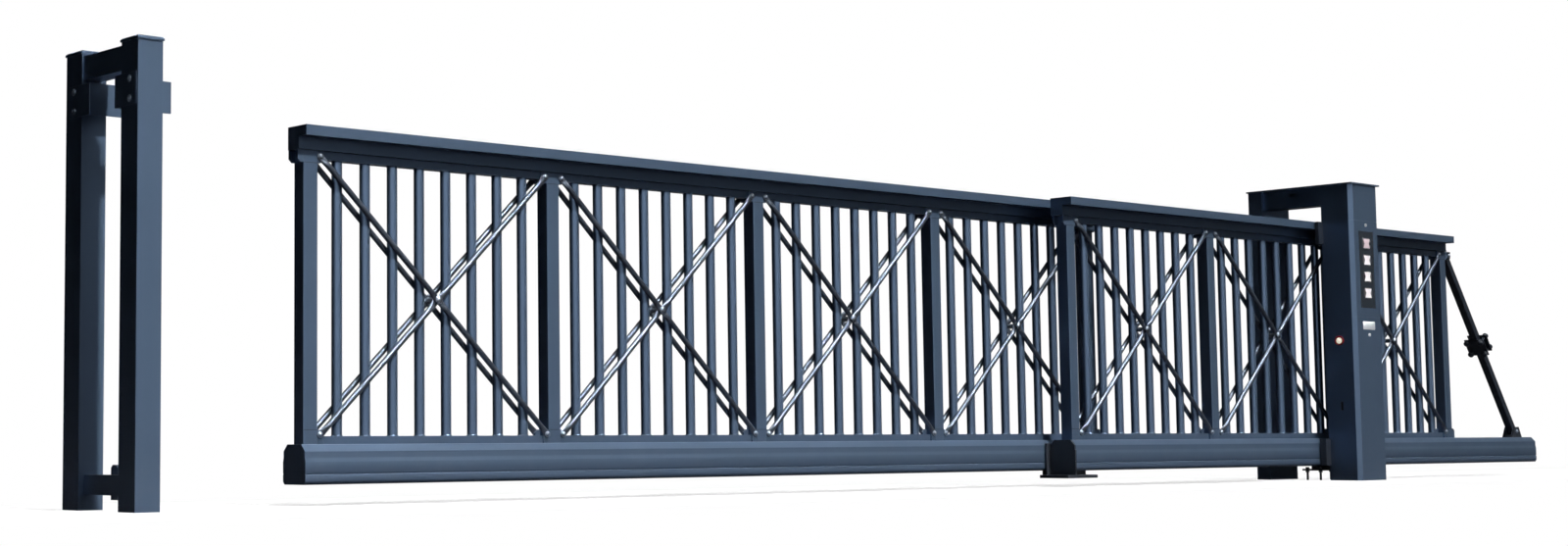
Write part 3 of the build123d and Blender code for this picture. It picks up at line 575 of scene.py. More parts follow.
class Shape:
    """Collects the points and faces of one piece."""

    def __init__(self) -> None:
        """Start an empty shape."""
        self.points: list[Vector] = []
        self.faces: list[tuple[int, ...]] = []
        self.face_finish: list[int] = []
        self.finish_index = 0

    def skin(self, rings: Sequence[Sequence[Vector]], capped: bool = True) -> None:
        """Join a run of closed rings with quads.

        Args:
            rings: Rings with equal numbers of points.
            capped: Close the first and the last ring.
        """
        start = len(self.points)
        sides = len(rings[0])
        for ring in rings:
            self.points.extend(ring)
        for row in range(len(rings) - 1):
            for side in range(sides):
                after = (side + 1) % sides
                low = start + row * sides
                self.put((low + side, low + after, low + sides + after, low + sides + side))
        if capped:
            last = start + (len(rings) - 1) * sides
            self.put(tuple(start + side for side in reversed(range(sides))))
            self.put(tuple(last + side for side in range(sides)))

    def put(self, face: tuple[int, ...]) -> None:
        """Add one face, given by its points' numbers, in the finish that is in use."""
        self.faces.append(face)
        self.face_finish.append(self.finish_index)

    def turned(
        self, base: Vector, axis: Vector, profile: Outline, sides: int = 20, wave: float = 0.0
    ) -> None:
        """Turn a profile about an axis.

        Args:
            base: Where the axis starts.
            axis: The axis's direction.
            profile: Pairs of height above the base and radius.
            sides: Points to a ring.
            wave: How far the radius ripples round the ring.
        """
        along = axis.normalized()
        across = along.orthogonal().normalized()
        third = along.cross(across)
        rings = []
        for height, radius in profile:
            ring = []
            for step in range(sides):
                turn = math.tau * step / sides
                reach = max(radius, 1e-5) + wave * math.sin(3 * turn + 400 * height) * (radius > 0)
                ring.append(
                    base + along * height + (across * math.cos(turn) + third * math.sin(turn)) * reach
                )
            rings.append(ring)
        self.skin(rings)

    def block(self, low: Vector, high: Vector, bevel: float = 0.0) -> None:
        """Add a box whose edges along Z are cut by the bevel and whose top and bottom are drawn in.

        Args:
            low: Lowest corner.
            high: Highest corner.
            bevel: Size of the bevel.
        """
        def ring(inset: float, height: float) -> list[Vector]:
            x0, x1 = low.x + inset, high.x - inset
            y0, y1 = low.y + inset, high.y - inset
            if bevel <= 0:
                return [Vector((x, y, height)) for x, y in ((x0, y0), (x1, y0), (x1, y1), (x0, y1))]
            corners = (
                (x0 + bevel, y0), (x1 - bevel, y0), (x1, y0 + bevel), (x1, y1 - bevel),
                (x1 - bevel, y1), (x0 + bevel, y1), (x0, y1 - bevel), (x0, y0 + bevel),
            )
            return [Vector((x, y, height)) for x, y in corners]

        if bevel > 0:
            self.skin([
                ring(bevel, low.z), ring(0, low.z + bevel), ring(0, high.z - bevel), ring(bevel, high.z)
            ])
        else:
            self.skin([ring(0, low.z), ring(0, high.z)])

    def slab(
        self, outline: Outline, origin: Vector, across: Vector, up: Vector, depth: float, inset: float = 0.0
    ) -> None:
        """Raise an outline into a slab whose outer edge is drawn in.

        Args:
            outline: Points of the outline in the slab's plane.
            origin: The plane's origin, on the slab's back.
            across: The plane's first direction.
            up: The plane's second direction.
            depth: The slab's thickness.
            inset: How far the outer face is drawn in all round.
        """
        out = across.cross(up).normalized()
        middle_a = sum(a for a, _ in outline) / len(outline)
        middle_b = sum(b for _, b in outline) / len(outline)
        half_a = max(abs(a - middle_a) for a, _ in outline)
        half_b = max(abs(b - middle_b) for _, b in outline)

        def ring(drawn: float, height: float) -> list[Vector]:
            keep_a = (half_a - drawn) / half_a
            keep_b = (half_b - drawn) / half_b
            return [
                origin
                + across * (middle_a + (a - middle_a) * keep_a)
                + up * (middle_b + (b - middle_b) * keep_b)
                + out * height
                for a, b in outline
            ]

        if inset:
            self.skin([ring(0, 0), ring(0, depth - inset), ring(inset, depth)])
        else:
            self.skin([ring(0, 0), ring(0, depth)])

    def piece(
        self, name: str, body: Body, finishes: Sequence[Finish], smooth_angle: float = 40.0
    ) -> bpy.types.Object:
        """Make the shape's mesh object and let it ride on its body.

        Args:
            name: The piece's name.
            body: The body that it moves with.
            finishes: Its finishes, in the order of the faces' finish numbers.
            smooth_angle: Edges that turn by less, in degrees, are shaded smooth.

        Returns:
            The new object.
        """
        mesh = bpy.data.meshes.new(name)
        mesh.from_pydata([tuple(point) for point in self.points], [], self.faces)
        mesh.validate()
        thing = bpy.data.objects.new(name, mesh)
        bpy.context.scene.collection.objects.link(thing)
        for finish in finishes:
            mesh.materials.append(finish.material())
        if len(self.face_finish) == len(mesh.polygons):
            mesh.polygons.foreach_set("material_index", self.face_finish)
        smooth_by_angle(mesh, smooth_angle)
        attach(thing, body.value)
        log.info("piece %s: %d faces", name, len(mesh.polygons))
        return thing


def smooth_by_angle(mesh: bpy.types.Mesh, angle: float) -> None:
    """Shade a mesh smooth apart from its sharp edges.

    Args:
        mesh: The mesh.
        angle: Edges that turn by more, in degrees, stay sharp.
    """
    mesh.shade_smooth()
    mesh.set_sharp_from_angle(angle=math.radians(angle))


@dataclass(frozen=True)
class DomeBolt:
    """A round-headed bolt with its washer."""

    washer_radius: float = 0.016
    washer_height: float = 0.0025
    head_radius: float = 0.0135
    head_height: float = 0.0095
    socket_radius: float = 0.004
    socket_depth: float = 0.003
    socket_taper: float = 0.9
    crown: float = 0.0004
    washer_edge: float = 0.0005
    turns: tuple[float, ...] = (0.0, 0.35, 0.7, 1.0, 1.2)
    sides: int = 20

    def add(self, shape: Shape, seat: Vector, out: Vector) -> None:
        """Put the bolt's head on a face.

        Args:
            shape: The shape that takes it.
            seat: The middle of its seat.
            out: The direction that its head points in.
        """
        base = self.washer_height
        dome = [
            (base + self.head_height * math.sin(turn), self.head_radius * math.cos(turn))
            for turn in self.turns
        ]
        top = dome[-1][0] + self.crown
        socket_floor = top - self.socket_depth
        profile = [
            (0.0, self.washer_radius),
            (base - self.washer_edge, self.washer_radius),
            (base, self.washer_radius - self.washer_edge),
            (base, self.head_radius),
            *dome,
            (top, self.socket_radius),
            (socket_floor, self.socket_radius * self.socket_taper),
            (socket_floor, 0.0),
        ]
        shape.turned(seat, out, profile, self.sides)


@dataclass(frozen=True)
class LeafLine:
    """Where the posts, bays and bolts of one leaf are, in metres."""

    prefix: str
    body: Body
    bays: int
    plate_length: float = 0.148
    foot_plate: float = 0.068
    head_plate: float = 0.060
    bolt_reach: float = 0.054
    foot_bolt: float = 0.045
    head_bolt: float = 0.028
    post_half: float = 0.040
    rod_tab: float = 0.0055

    @property
    def low(self) -> Vector:
        """Lowest corner of the posts."""
        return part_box(f"{self.prefix}_posts")[0]

    @property
    def high(self) -> Vector:
        """Highest corner of the posts."""
        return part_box(f"{self.prefix}_posts")[1]

    @property
    def posts(self) -> list[float]:
        """X of every post."""
        first = self.low.x + self.plate_length / 2
        last = self.high.x - self.plate_length / 2
        return [first + (last - first) * index / self.bays for index in range(self.bays + 1)]

    @property
    def bay_pitch(self) -> float:
        """From one post's middle to the next one's."""
        return self.posts[1] - self.posts[0]

    @property
    def middle_y(self) -> float:
        """Y of the leaf's middle plane."""
        return (self.low.y + self.high.y) / 2

    @property
    def foot_bolt_z(self) -> float:
        """Height of the lower bolts."""
        return self.low.z + self.foot_bolt

    @property
    def head_bolt_z(self) -> float:
        """Height of the upper bolts."""
        return self.high.z - self.head_bolt

    def bay_middles(self) -> list[float]:
        """Find the middle of every bay.

        Returns:
            X of the middles.
        """
        posts = self.posts
        return [(a + b) / 2 for a, b in zip(posts, posts[1:])]


# Sub-assemblies

@dataclass(frozen=True)
class Bars:
    """The round bars of a leaf with the weld bead round each end."""

    leaf: LeafLine
    radius: float = 0.026
    count: int = 8
    bead_radius: float = 0.0285
    bead_height: float = 0.006
    bead_fall: float = 0.0005
    bead_toe: float = 0.0002
    bead_wave: float = 0.0006
    sides: int = 32

    def build(self) -> None:
        """Make one piece of bars for every bay, in place of the plain ones."""
        open_width = self.leaf.bay_pitch - 2 * self.leaf.post_half - self.count * 2 * self.radius
        pitch = open_width / (self.count + 1) + 2 * self.radius
        for number, middle_x in enumerate(self.leaf.bay_middles(), start=1):
            node = f"{self.leaf.prefix}_bars_{number}"
            low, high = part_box(node)
            shape = Shape()
            for index in range(self.count):
                x = middle_x + (index - (self.count - 1) / 2) * pitch
                self.add_bar(shape, Vector((x, self.leaf.middle_y, low.z)), high.z - low.z)
            thing = shape.piece(f"round_{node}", self.leaf.body, [FRAME_PAINT])
            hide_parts(node)

    def add_bar(self, shape: Shape, foot: Vector, length: float) -> None:
        """Add one bar with its beads.

        Args:
            shape: The shape that takes it.
            foot: The middle of its foot.
            length: Its length.
        """
        up = Vector((0, 0, 1))
        shape.turned(foot, up, [(level, self.radius) for level in (0.0, length / 2, length)], self.sides)
        for level, way in ((0.0, 1), (length, -1)):
            bead = [
                (level, self.bead_radius),
                (level + way * self.bead_height / 2, self.bead_radius - self.bead_fall),
                (level + way * self.bead_height, self.radius - self.bead_toe),
            ]
            shape.turned(foot, up, bead[::way], self.sides, wave=self.bead_wave)


@dataclass(frozen=True)
class CrossRods:
    """The crossed tie rods of a leaf: four half rods on each face, joined through a hub."""

    leaf: LeafLine
    radius: float = 0.0145
    stand_off: float = 0.045
    tab_half: float = 0.019
    tab_shares: tuple[float, ...] = (1.0, 0.92, 0.7, 0.38, 0.0)
    tab_edge: float = 0.0001
    neck_length: float = 0.060
    neck_steps: int = 6
    hub_radius: float = 0.023
    hub_dome: Outline = (
        (0.0, 0.92), (0.002, 0.92), (0.003, 0.82), (0.007, 0.74), (0.0105, 0.52), (0.012, 0.26),
        (0.0122, 0.0),
    )
    hub_back: Outline = ((-0.003, 0.8), (0.0, 0.86))
    spacer_radius: float = 0.015
    sides: int = 18
    hub_sides: int = 24

    def build(self) -> None:
        """Make one piece of rods for every bay, in place of the plain ones."""
        for number, middle_x in enumerate(self.leaf.bay_middles(), start=1):
            node = f"{self.leaf.prefix}_cross_rods_{number}"
            shape = Shape()
            half_x = self.leaf.bay_pitch / 2 - self.leaf.bolt_reach
            levels = (self.leaf.foot_bolt_z, self.leaf.head_bolt_z)
            ends = [(end_x, end_z) for end_x in (-half_x, half_x) for end_z in levels]
            hub_z = sum(levels) / 2
            for side in Side:
                hub = Vector((middle_x, self.leaf.middle_y + side.value * self.stand_off, hub_z))
                out = Vector((0, side.value, 0))
                shape.finish_index = 0
                for layer, (end_x, end_z) in enumerate(ends):
                    bolt = Vector((middle_x + end_x, hub.y, end_z))
                    self.add_half_rod(shape, hub, bolt, out, layer)
                shape.finish_index = 1
                self.add_hub(shape, hub, out)
            length = 2 * (self.stand_off - 2 * self.leaf.rod_tab)
            start = Vector((middle_x, self.leaf.middle_y - length / 2, hub_z))
            spacer = [(0.0, self.spacer_radius), (length, self.spacer_radius)]
            shape.turned(start, Vector((0, 1, 0)), spacer, self.hub_sides)
            thing = shape.piece(f"forged_{node}", self.leaf.body, [ROD_STEEL, BOLT_STEEL])
            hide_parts(node)

    def add_half_rod(self, shape: Shape, hub: Vector, bolt: Vector, out: Vector, layer: int) -> None:
        """Add a rod from the hub to a bolt, pressed flat at both ends.

        Args:
            shape: The shape that takes it.
            hub: The hub's middle on the rod's plane.
            bolt: The bolt's place on the rod's plane.
            out: Away from the leaf.
            layer: The rod's place in the stack at the hub.
        """
        along = (bolt - hub).normalized()
        across = out.cross(along)
        length = (bolt - hub).length
        hub_shift = (layer - 1.5) * self.leaf.rod_tab
        bolt_shift = self.leaf.post_half + self.leaf.rod_tab / 2 - self.stand_off
        rings = []
        for place, wide, thick, shift in self.stations(length, hub_shift, bolt_shift):
            middle = hub + along * place + out * shift
            ring = []
            for step in range(self.sides):
                turn = math.tau * step / self.sides
                ring.append(middle + across * (wide * math.cos(turn)) + out * (thick * math.sin(turn)))
            rings.append(ring)
        shape.skin(rings)

    def stations(self, length: float, hub_shift: float, bolt_shift: float) -> list[Sequence[float]]:
        """Lay out the rod's sections from the hub to the bolt.

        Args:
            length: From the hub's middle to the bolt's.
            hub_shift: How far the hub's tab lies off the rod's axis.
            bolt_shift: How far the bolt's tab lies off the rod's axis.

        Returns:
            Place, half width, half thickness and shift of each section.
        """
        flat = self.leaf.rod_tab / 2
        swell = self.radius - flat
        end = []
        for share in self.tab_shares:
            wide = self.tab_half * math.sqrt(max(0.0, 1 - share * share)) + self.tab_edge
            end.append((-self.tab_half * share, wide, flat))
        for step in range(1, self.neck_steps + 1):
            share = step / self.neck_steps
            ease = share * share * (3 - 2 * share)
            end.append((
                self.tab_half / 2 + self.neck_length * share,
                self.tab_half + (self.radius - self.tab_half) * ease,
                flat + swell * ease,
            ))
        first = [
            (place, wide, thick, hub_shift * min(1.0, (self.radius - thick) / swell))
            for place, wide, thick in end
        ]
        last = [
            (length - place, wide, thick, bolt_shift * min(1.0, (self.radius - thick) / swell))
            for place, wide, thick in reversed(end)
        ]
        return [*first, *last]

    def add_hub(self, shape: Shape, hub: Vector, out: Vector) -> None:
        """Add the hub's washers and its domed head.

        Args:
            shape: The shape that takes it.
            hub: The hub's middle on the rods' plane.
            out: Away from the leaf.
        """
        stack = 2 * self.leaf.rod_tab
        dome = [(stack + rise, self.hub_radius * share) for rise, share in self.hub_dome]
        back = [(rise - stack, self.hub_radius * share) for rise, share in self.hub_back]
        for profile in (dome, back):
            shape.turned(hub, out, profile, self.hub_sides)


@dataclass(frozen=True)
class Posts:
    """The square posts of a leaf with their welded head and foot plates."""

    leaf: LeafLine
    wing_thickness: float = 0.013
    wing_bevel: float = 0.0008
    wing_overlap: float = 0.0002
    corner: float = 0.016
    bevel: float = 0.0015

    def build(self) -> None:
        """Make the posts, in place of the plain ones."""
        node = f"{self.leaf.prefix}_posts"
        low, high = self.leaf.low, self.leaf.high
        half = self.leaf.post_half
        shape = Shape()
        for index, post_x in enumerate(self.leaf.posts):
            foot = Vector((post_x - half, low.y, low.z))
            head = Vector((post_x + half, high.y, high.z))
            shape.block(foot, head, self.bevel)
            for side in Side:
                for way in (-1, 1):
                    if index > 0 or way > 0:
                        self.add_wing(shape, post_x, side, way, low.z, self.leaf.foot_plate)
                    self.add_wing(shape, post_x, side, way, high.z, -self.leaf.head_plate)
        thing = shape.piece(f"welded_{node}", self.leaf.body, [FRAME_PAINT])
        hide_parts(node)

    def add_wing(
        self, shape: Shape, post_x: float, side: Side, way: int, base_z: float, height: float
    ) -> None:
        """Add the part of a plate that stands out beside the post.

        Args:
            shape: The shape that takes it.
            post_x: The post's middle.
            side: The leaf's face that it belongs to.
            way: Which side of the post, along X.
            base_z: The height that the plate starts from.
            height: The plate's height, below zero for one that hangs down.
        """
        half, reach = self.leaf.post_half - self.wing_overlap, self.leaf.plate_length / 2
        tall, corner = abs(height), self.corner
        outline = [(half, 0), (reach, 0), (reach, tall - corner), (reach - corner, tall), (half, tall)]
        face_y = self.leaf.middle_y + side.value * self.leaf.post_half
        origin = Vector((post_x, face_y - side.value * self.wing_thickness, base_z))
        across = Vector((way, 0, 0))
        up = Vector((0, 0, math.copysign(1, height)))
        if across.cross(up).y * side.value < 0:
            outline = [(-a, b) for a, b in reversed(outline)]
            across = -across
        shape.slab(outline, origin, across, up, self.wing_thickness, self.wing_bevel)


@dataclass(frozen=True)
class BottomRail:
    """The rolled bottom rail of a leaf with its fine steps, its lips and its end plates."""

    leaf: LeafLine
    end_plate: float = 0.004
    end_overlap: float = 0.0005
    end_bevel: float = 0.0012
    smooth_angle: float = 24.0
    outline: Outline = (
        (0.0, 0.190), (0.056, 0.190), (0.060, 0.1885), (0.0885, 0.159), (0.090, 0.156), (0.090, 0.127),
        (0.0905, 0.1245), (0.0945, 0.1085), (0.095, 0.106), (0.095, 0.0555), (0.0942, 0.0535),
        (0.0915, 0.0515), (0.0915, 0.0485), (0.0942, 0.0465), (0.095, 0.0445), (0.095, 0.0165),
        (0.0935, 0.013), (0.084, 0.0015), (0.081, 0.0),
    )
    hollow: Outline = (
        (0.037, 0.0), (0.037, 0.006), (0.085, 0.006), (0.085, 0.155), (0.055, 0.185), (0.0, 0.185),
    )

    def build(self) -> None:
        """Make the rail and its end plates, in place of the plain rail."""
        node = f"{self.leaf.prefix}_bottom_rail"
        low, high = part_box(node)
        middle = Vector((0, (low.y + high.y) / 2, low.z))
        half = [*self.outline, *self.hollow]
        shape = Shape()
        for side in (1, -1):
            rings = []
            for x in (low.x + self.end_plate, high.x - self.end_plate):
                ring = [Vector((x, middle.y + side * y, middle.z + z)) for y, z in half]
                rings.append(ring[::side])
            shape.skin(rings)
        for x, way in ((low.x, 1), (high.x, -1)):
            self.add_end_plate(shape, x, way, middle)
        thing = shape.piece(f"rolled_{node}", self.leaf.body, [FRAME_PAINT], self.smooth_angle)
        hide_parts(node)

    def add_end_plate(self, shape: Shape, x: float, way: int, middle: Vector) -> None:
        """Close one end of the rail with a plate.

        Args:
            shape: The shape that takes it.
            x: The plate's outer face.
            way: Towards the rail along X.
            middle: The middle of the rail's foot.
        """
        top = self.outline[0][1]

        def ring(inset: float, depth: float) -> list[Vector]:
            points = []
            for side in (1, -1):
                run = [
                    (side * max(0.0, y - inset), min(max(z, inset), top - inset))
                    for y, z in self.outline[1:]
                ]
                points.extend(run[::side])
            return [Vector((x + way * depth, middle.y + y, middle.z + z)) for y, z in points]

        bevel = self.end_bevel
        rings = [ring(0.0, self.end_plate + self.end_overlap), ring(0.0, bevel), ring(bevel, 0.0)]
        shape.skin(rings[::-way])


@dataclass(frozen=True)
class LinkSole:
    """The bent plate below both rails that joins the leaves, with its collar and neck."""

    front_y: float = 0.158
    sole_back: float = 0.372
    sole_start: float = 0.090
    sole_length: float = 0.300
    sole_thickness: float = 0.020
    arm: tuple[float, float] = (0.170, 0.290)
    arm_overlap: float = 0.010
    arm_rise: float = 0.020
    neck: tuple[float, float] = (0.004, 0.194)
    neck_rise: float = 0.180
    neck_half: float = 0.018
    shelf_rise: float = 0.012
    shelf_drop: float = 0.018
    collar_length: float = 0.042
    collar_thickness: float = 0.015
    collar_lift: float = 0.005
    collar_height: float = 0.190
    overlap: float = 0.001
    bevel: float = 0.0015
    fine_bevel: float = 0.001

    def build(self) -> None:
        """Make the sole, its arm and its collar, in place of the plain bracket."""
        low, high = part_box("link_bracket")
        plate_low, plate_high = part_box("link_plate")
        rail_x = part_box("near_bottom_rail")[0].x
        far_low, far_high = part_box("far_bottom_rail")
        half = self.neck_half
        far_y = (far_low.y + far_high.y) / 2
        near_y = (plate_low.y + plate_high.y) / 2
        side_y = plate_high.y
        sole_x = rail_x - self.sole_start
        sole_end = sole_x + self.sole_length
        arm_x, arm_end = (sole_x + x for x in self.arm)
        neck_x, neck_end = (rail_x + x for x in self.neck)
        top = low.z + self.sole_thickness
        joint = top - self.overlap
        collar_x, collar_end = rail_x - self.collar_length, rail_x - self.overlap
        collar_top = top + self.collar_lift + self.collar_height
        blocks = (
            ((sole_x, self.front_y, low.z), (sole_end, self.sole_back, top), self.bevel),
            ((arm_x, self.sole_back - self.arm_overlap, low.z), (arm_end, far_y + half, top), self.bevel),
            (
                (arm_x, far_y - half, joint),
                (arm_end, far_y + half, far_low.z + self.arm_rise),
                self.fine_bevel,
            ),
            (
                (sole_x, far_y - half, far_low.z + self.shelf_rise),
                (sole_end, far_y + half, high.z - self.shelf_drop),
                self.fine_bevel,
            ),
            (
                (neck_x, near_y - half, joint),
                (neck_end, near_y + half, far_low.z + self.neck_rise),
                self.fine_bevel,
            ),
            (
                (collar_x, side_y, joint),
                (collar_end, side_y + self.collar_thickness, collar_top),
                self.bevel,
            ),
        )
        shape = Shape()
        for lowest, highest, bevel in blocks:
            shape.block(Vector(lowest), Vector(highest), bevel)
        thing = shape.piece("link_sole", Body.NEAR_LEAF, [BLACK_PAINT])
        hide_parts("link_bracket")


@dataclass(frozen=True)
class PlateFixings:
    """The bolts, weld seams and joint lines of a leaf's head and foot plates."""

    leaf: LeafLine
    bead: float = 0.0022
    bead_proud: float = 0.0003
    bead_sunk: float = 0.001
    bolt: DomeBolt = field(default_factory=DomeBolt)

    def build(self) -> None:
        """Make the leaf's bolts and its seams."""
        bolts = Shape()
        seams = Shape()
        leaf = self.leaf
        for index, post_x in enumerate(leaf.posts):
            for side in Side:
                out = Vector((0, side.value, 0))
                face_y = leaf.middle_y + side.value * leaf.post_half
                for way in (-1, 1):
                    if not 0 <= index + way <= leaf.bays:
                        continue
                    for level in (leaf.foot_bolt_z, leaf.head_bolt_z):
                        seat = Vector((post_x + way * leaf.bolt_reach, face_y, level)) + out * leaf.rod_tab
                        self.bolt.add(bolts, seat, out)
                for level in (leaf.low.z + leaf.foot_plate, leaf.high.z - leaf.head_plate):
                    self.add_seam(seams, post_x, face_y, level, out)
        bolts.piece(f"{self.leaf.prefix}_plate_bolts", self.leaf.body, [BOLT_STEEL])
        seams.piece(f"{self.leaf.prefix}_plate_seams", self.leaf.body, [BLACK_SEAM_AND_SHADE])

    def add_seam(self, shape: Shape, post_x: float, face_y: float, level: float, out: Vector) -> None:
        """Add the fine joint line between a plate and its post.

        Args:
            shape: The shape that takes it.
            post_x: The post's middle.
            face_y: The post's face.
            level: The plate's edge.
            out: Away from the leaf.
        """
        half = self.leaf.post_half - self.bead_sunk
        start = Vector((post_x - half, face_y, level))
        up = Vector((0, 0, self.bead / 2))
        corners = ((-1, -self.bead_sunk), (-1, self.bead_proud), (1, self.bead_proud), (1, -self.bead_sunk))
        rings = []
        for share in (0.0, 0.5, 1.0):
            middle = start + Vector((2 * half * share, 0, 0))
            rings.append([middle + up * rise + out * reach for rise, reach in corners])
        shape.skin(rings)


@dataclass(frozen=True)
class DrivePanelDetails:
    """Lamps, label, locks, vent and photocell of the drive column."""

    lamp_heights: tuple[float, ...] = (1.639, 1.524, 1.409, 1.294)
    lamp_half: tuple[float, float] = (0.0465, 0.0315)
    lamp_waist: float = 0.62
    lamp_waist_power: float = 1.3
    lamp_taper: float = 0.12
    lamp_bulge: float = 0.0028
    lamp_edge: float = 0.0004
    lamp_lift: float = 0.0001
    lamp_steps: int = 12
    lamp_sunk: float = 0.001
    label_width: float = 0.154
    label_height: float = 0.057
    label_middle_z: float = 1.0685
    label_thickness: float = 0.0012
    label_corner: float = 0.006
    label_bevel: float = 0.0004
    lock_inset: float = 0.011
    lock_face: Outline = (
        (0, 0.0105), (0.0015, 0.0105), (0.0025, 0.0092), (0.0025, 0.0045), (0.001, 0.004), (0.001, 0),
    )
    key_slot: tuple[Point, Point] = ((-0.0008, -0.003, -0.0032), (0.0008, -0.001, 0.0032))
    vent_y: float = 0.008
    vent_z: float = 0.512
    louvre_count: int = 6
    louvre_pitch: float = 0.0104
    louvre_half: tuple[float, float] = (0.009, 0.001)
    louvre_lean: float = -0.4
    louvre_depth: float = 0.004
    louvre_from: float = 0.005
    vent_back: tuple[float, float] = (0.0055, 0.008)
    vent_half: tuple[float, float] = (0.012, 0.034)
    eye_bead: Outline = (
        (-0.001, 0.033), (0.001, 0.0328), (0.0025, 0.031), (0.003, 0.029), (0.0025, 0.027), (0.001, 0.0255),
        (-0.001, 0.025),
    )
    eye_dome: Outline = ((0.0, 0.0205), (0.0015, 0.019), (0.003, 0.015), (0.004, 0.009), (0.0043, 0.0))

    def build(self) -> None:
        """Make all the details."""
        self.lamps()
        self.label()
        self.locks()
        self.vent()
        self.photocell()

    def lamps(self) -> None:
        """Put a pale, glowing dish on every lamp; its bright waist is a painted highlight that stands in for
        the hourglass reflection on the lens.
        """
        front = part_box("signal_lamps")[0].y
        for number, middle_z in enumerate(self.lamp_heights):
            shape = Shape()
            shape.skin([self.lamp_ring(front, middle_z, step) for step in range(self.lamp_steps + 1)])
            finish = LAMP_WARM if number == 0 else LAMP_LENS
            shape.piece(f"lamp_painted_highlight_{number + 1}", Body.PORTALS, [finish])

    def lamp_ring(self, front: float, middle_z: float, step: int) -> list[Vector]:
        """Lay out one level section of a lamp's painted highlight dish.

        Args:
            front: Y of the lamp's face.
            middle_z: The lamp's middle.
            step: The section's place, from the foot up.

        Returns:
            The section's points.
        """
        half_x, half_z = self.lamp_half
        turn = -1 + 2 * step / self.lamp_steps
        waist = self.lamp_waist + (1 - self.lamp_waist) * abs(turn) ** self.lamp_waist_power
        half = half_x * waist * (1 - self.lamp_taper * turn * turn)
        z = middle_z + half_z * turn
        bulge = self.lamp_bulge * math.sqrt(max(0.0, 1 - turn * turn)) + self.lamp_edge
        ring = []
        for index in range(self.lamp_steps + 1):
            across = -1 + 2 * index / self.lamp_steps
            rise = bulge * math.sqrt(max(0.0, 1 - across * across)) + self.lamp_lift
            ring.append(Vector((half * across, front - rise, z)))
        ring.append(Vector((half, front + self.lamp_sunk, z)))
        ring.append(Vector((-half, front + self.lamp_sunk, z)))
        return ring

    def label(self) -> None:
        """Put the blank label on the lower cover."""
        face_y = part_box("service_cover_lower")[0].y
        shape = Shape()
        cut = self.label_corner
        half_x, half_z = self.label_width / 2, self.label_height / 2
        outline = [
            (-half_x + cut, -half_z), (half_x - cut, -half_z),
            (half_x, -half_z + cut), (half_x, half_z - cut),
            (half_x - cut, half_z), (-half_x + cut, half_z),
            (-half_x, half_z - cut), (-half_x, -half_z + cut),
        ]
        middle = Vector((0, face_y, self.label_middle_z))
        across, up = Vector((1, 0, 0)), Vector((0, 0, 1))
        shape.slab(outline, middle, across, up, self.label_thickness, self.label_bevel)
        shape.piece("blank_label", Body.PORTALS, [LABEL])

    def locks(self) -> None:
        """Put a face on both lock cylinders, with a black bar for the key slot: painted shade in place of a
        cut keyway.
        """
        low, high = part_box("lock_cylinders")
        shape = Shape()
        for z in (low.z + self.lock_inset, high.z - self.lock_inset):
            seat = Vector((0, low.y, z))
            shape.finish_index = 0
            shape.turned(seat, Vector((0, -1, 0)), self.lock_face, 24)
            # The key slot is a black bar on the face: painted shade in place of a cut keyway.
            shape.finish_index = 1
            shape.block(*(seat + Vector(corner) for corner in self.key_slot))
        shape.piece("lock_faces", Body.PORTALS, [LOCK_NICKEL, BLACK_SEAM_AND_SHADE])

    def vent(self) -> None:
        """Put louvre blades behind the vent slot, and behind them a black block: painted shade for the dark
        inside of the column.
        """
        side_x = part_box("drive_column")[0].x
        shape = Shape()
        long, thin = self.louvre_half
        blade = [(-long, -thin), (long, -thin), (long, thin), (-long, thin)]
        up = Vector((self.louvre_lean, 0, 1)).normalized()
        for index in range(self.louvre_count):
            z = self.vent_z + (index - (self.louvre_count - 1) / 2) * self.louvre_pitch
            seat = Vector((side_x + self.louvre_from, self.vent_y, z))
            shape.slab(blade, seat, Vector((0, -1, 0)), up, self.louvre_depth)
        # The black block behind the blades is painted shade, standing in for the dark inside of the column.
        half_y, half_z = self.vent_half
        shape.block(
            Vector((side_x + self.vent_back[0], self.vent_y - half_y, self.vent_z - half_z)),
            Vector((side_x + self.vent_back[1], self.vent_y + half_y, self.vent_z + half_z)),
        )
        shape.piece("vent_louvres", Body.PORTALS, [BLACK_SEAM_AND_SHADE])

    def photocell(self) -> None:
        """Round off the photocell: a beaded red rim and a domed lens that glows as a painted highlight."""
        low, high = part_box("photocell_rim")
        middle = Vector((low.x, (low.y + high.y) / 2, (low.z + high.z) / 2))
        out = Vector((-1, 0, 0))
        rim = Shape()
        rim.turned(middle, out, self.eye_bead, 48)
        rim.piece("photocell_bead", Body.PORTALS, [RED_RIM])
        lens = Shape()
        lens.turned(middle, out, self.eye_dome, 40)
        lens.piece("photocell_dome", Body.PORTALS, [CREAM_LENS])


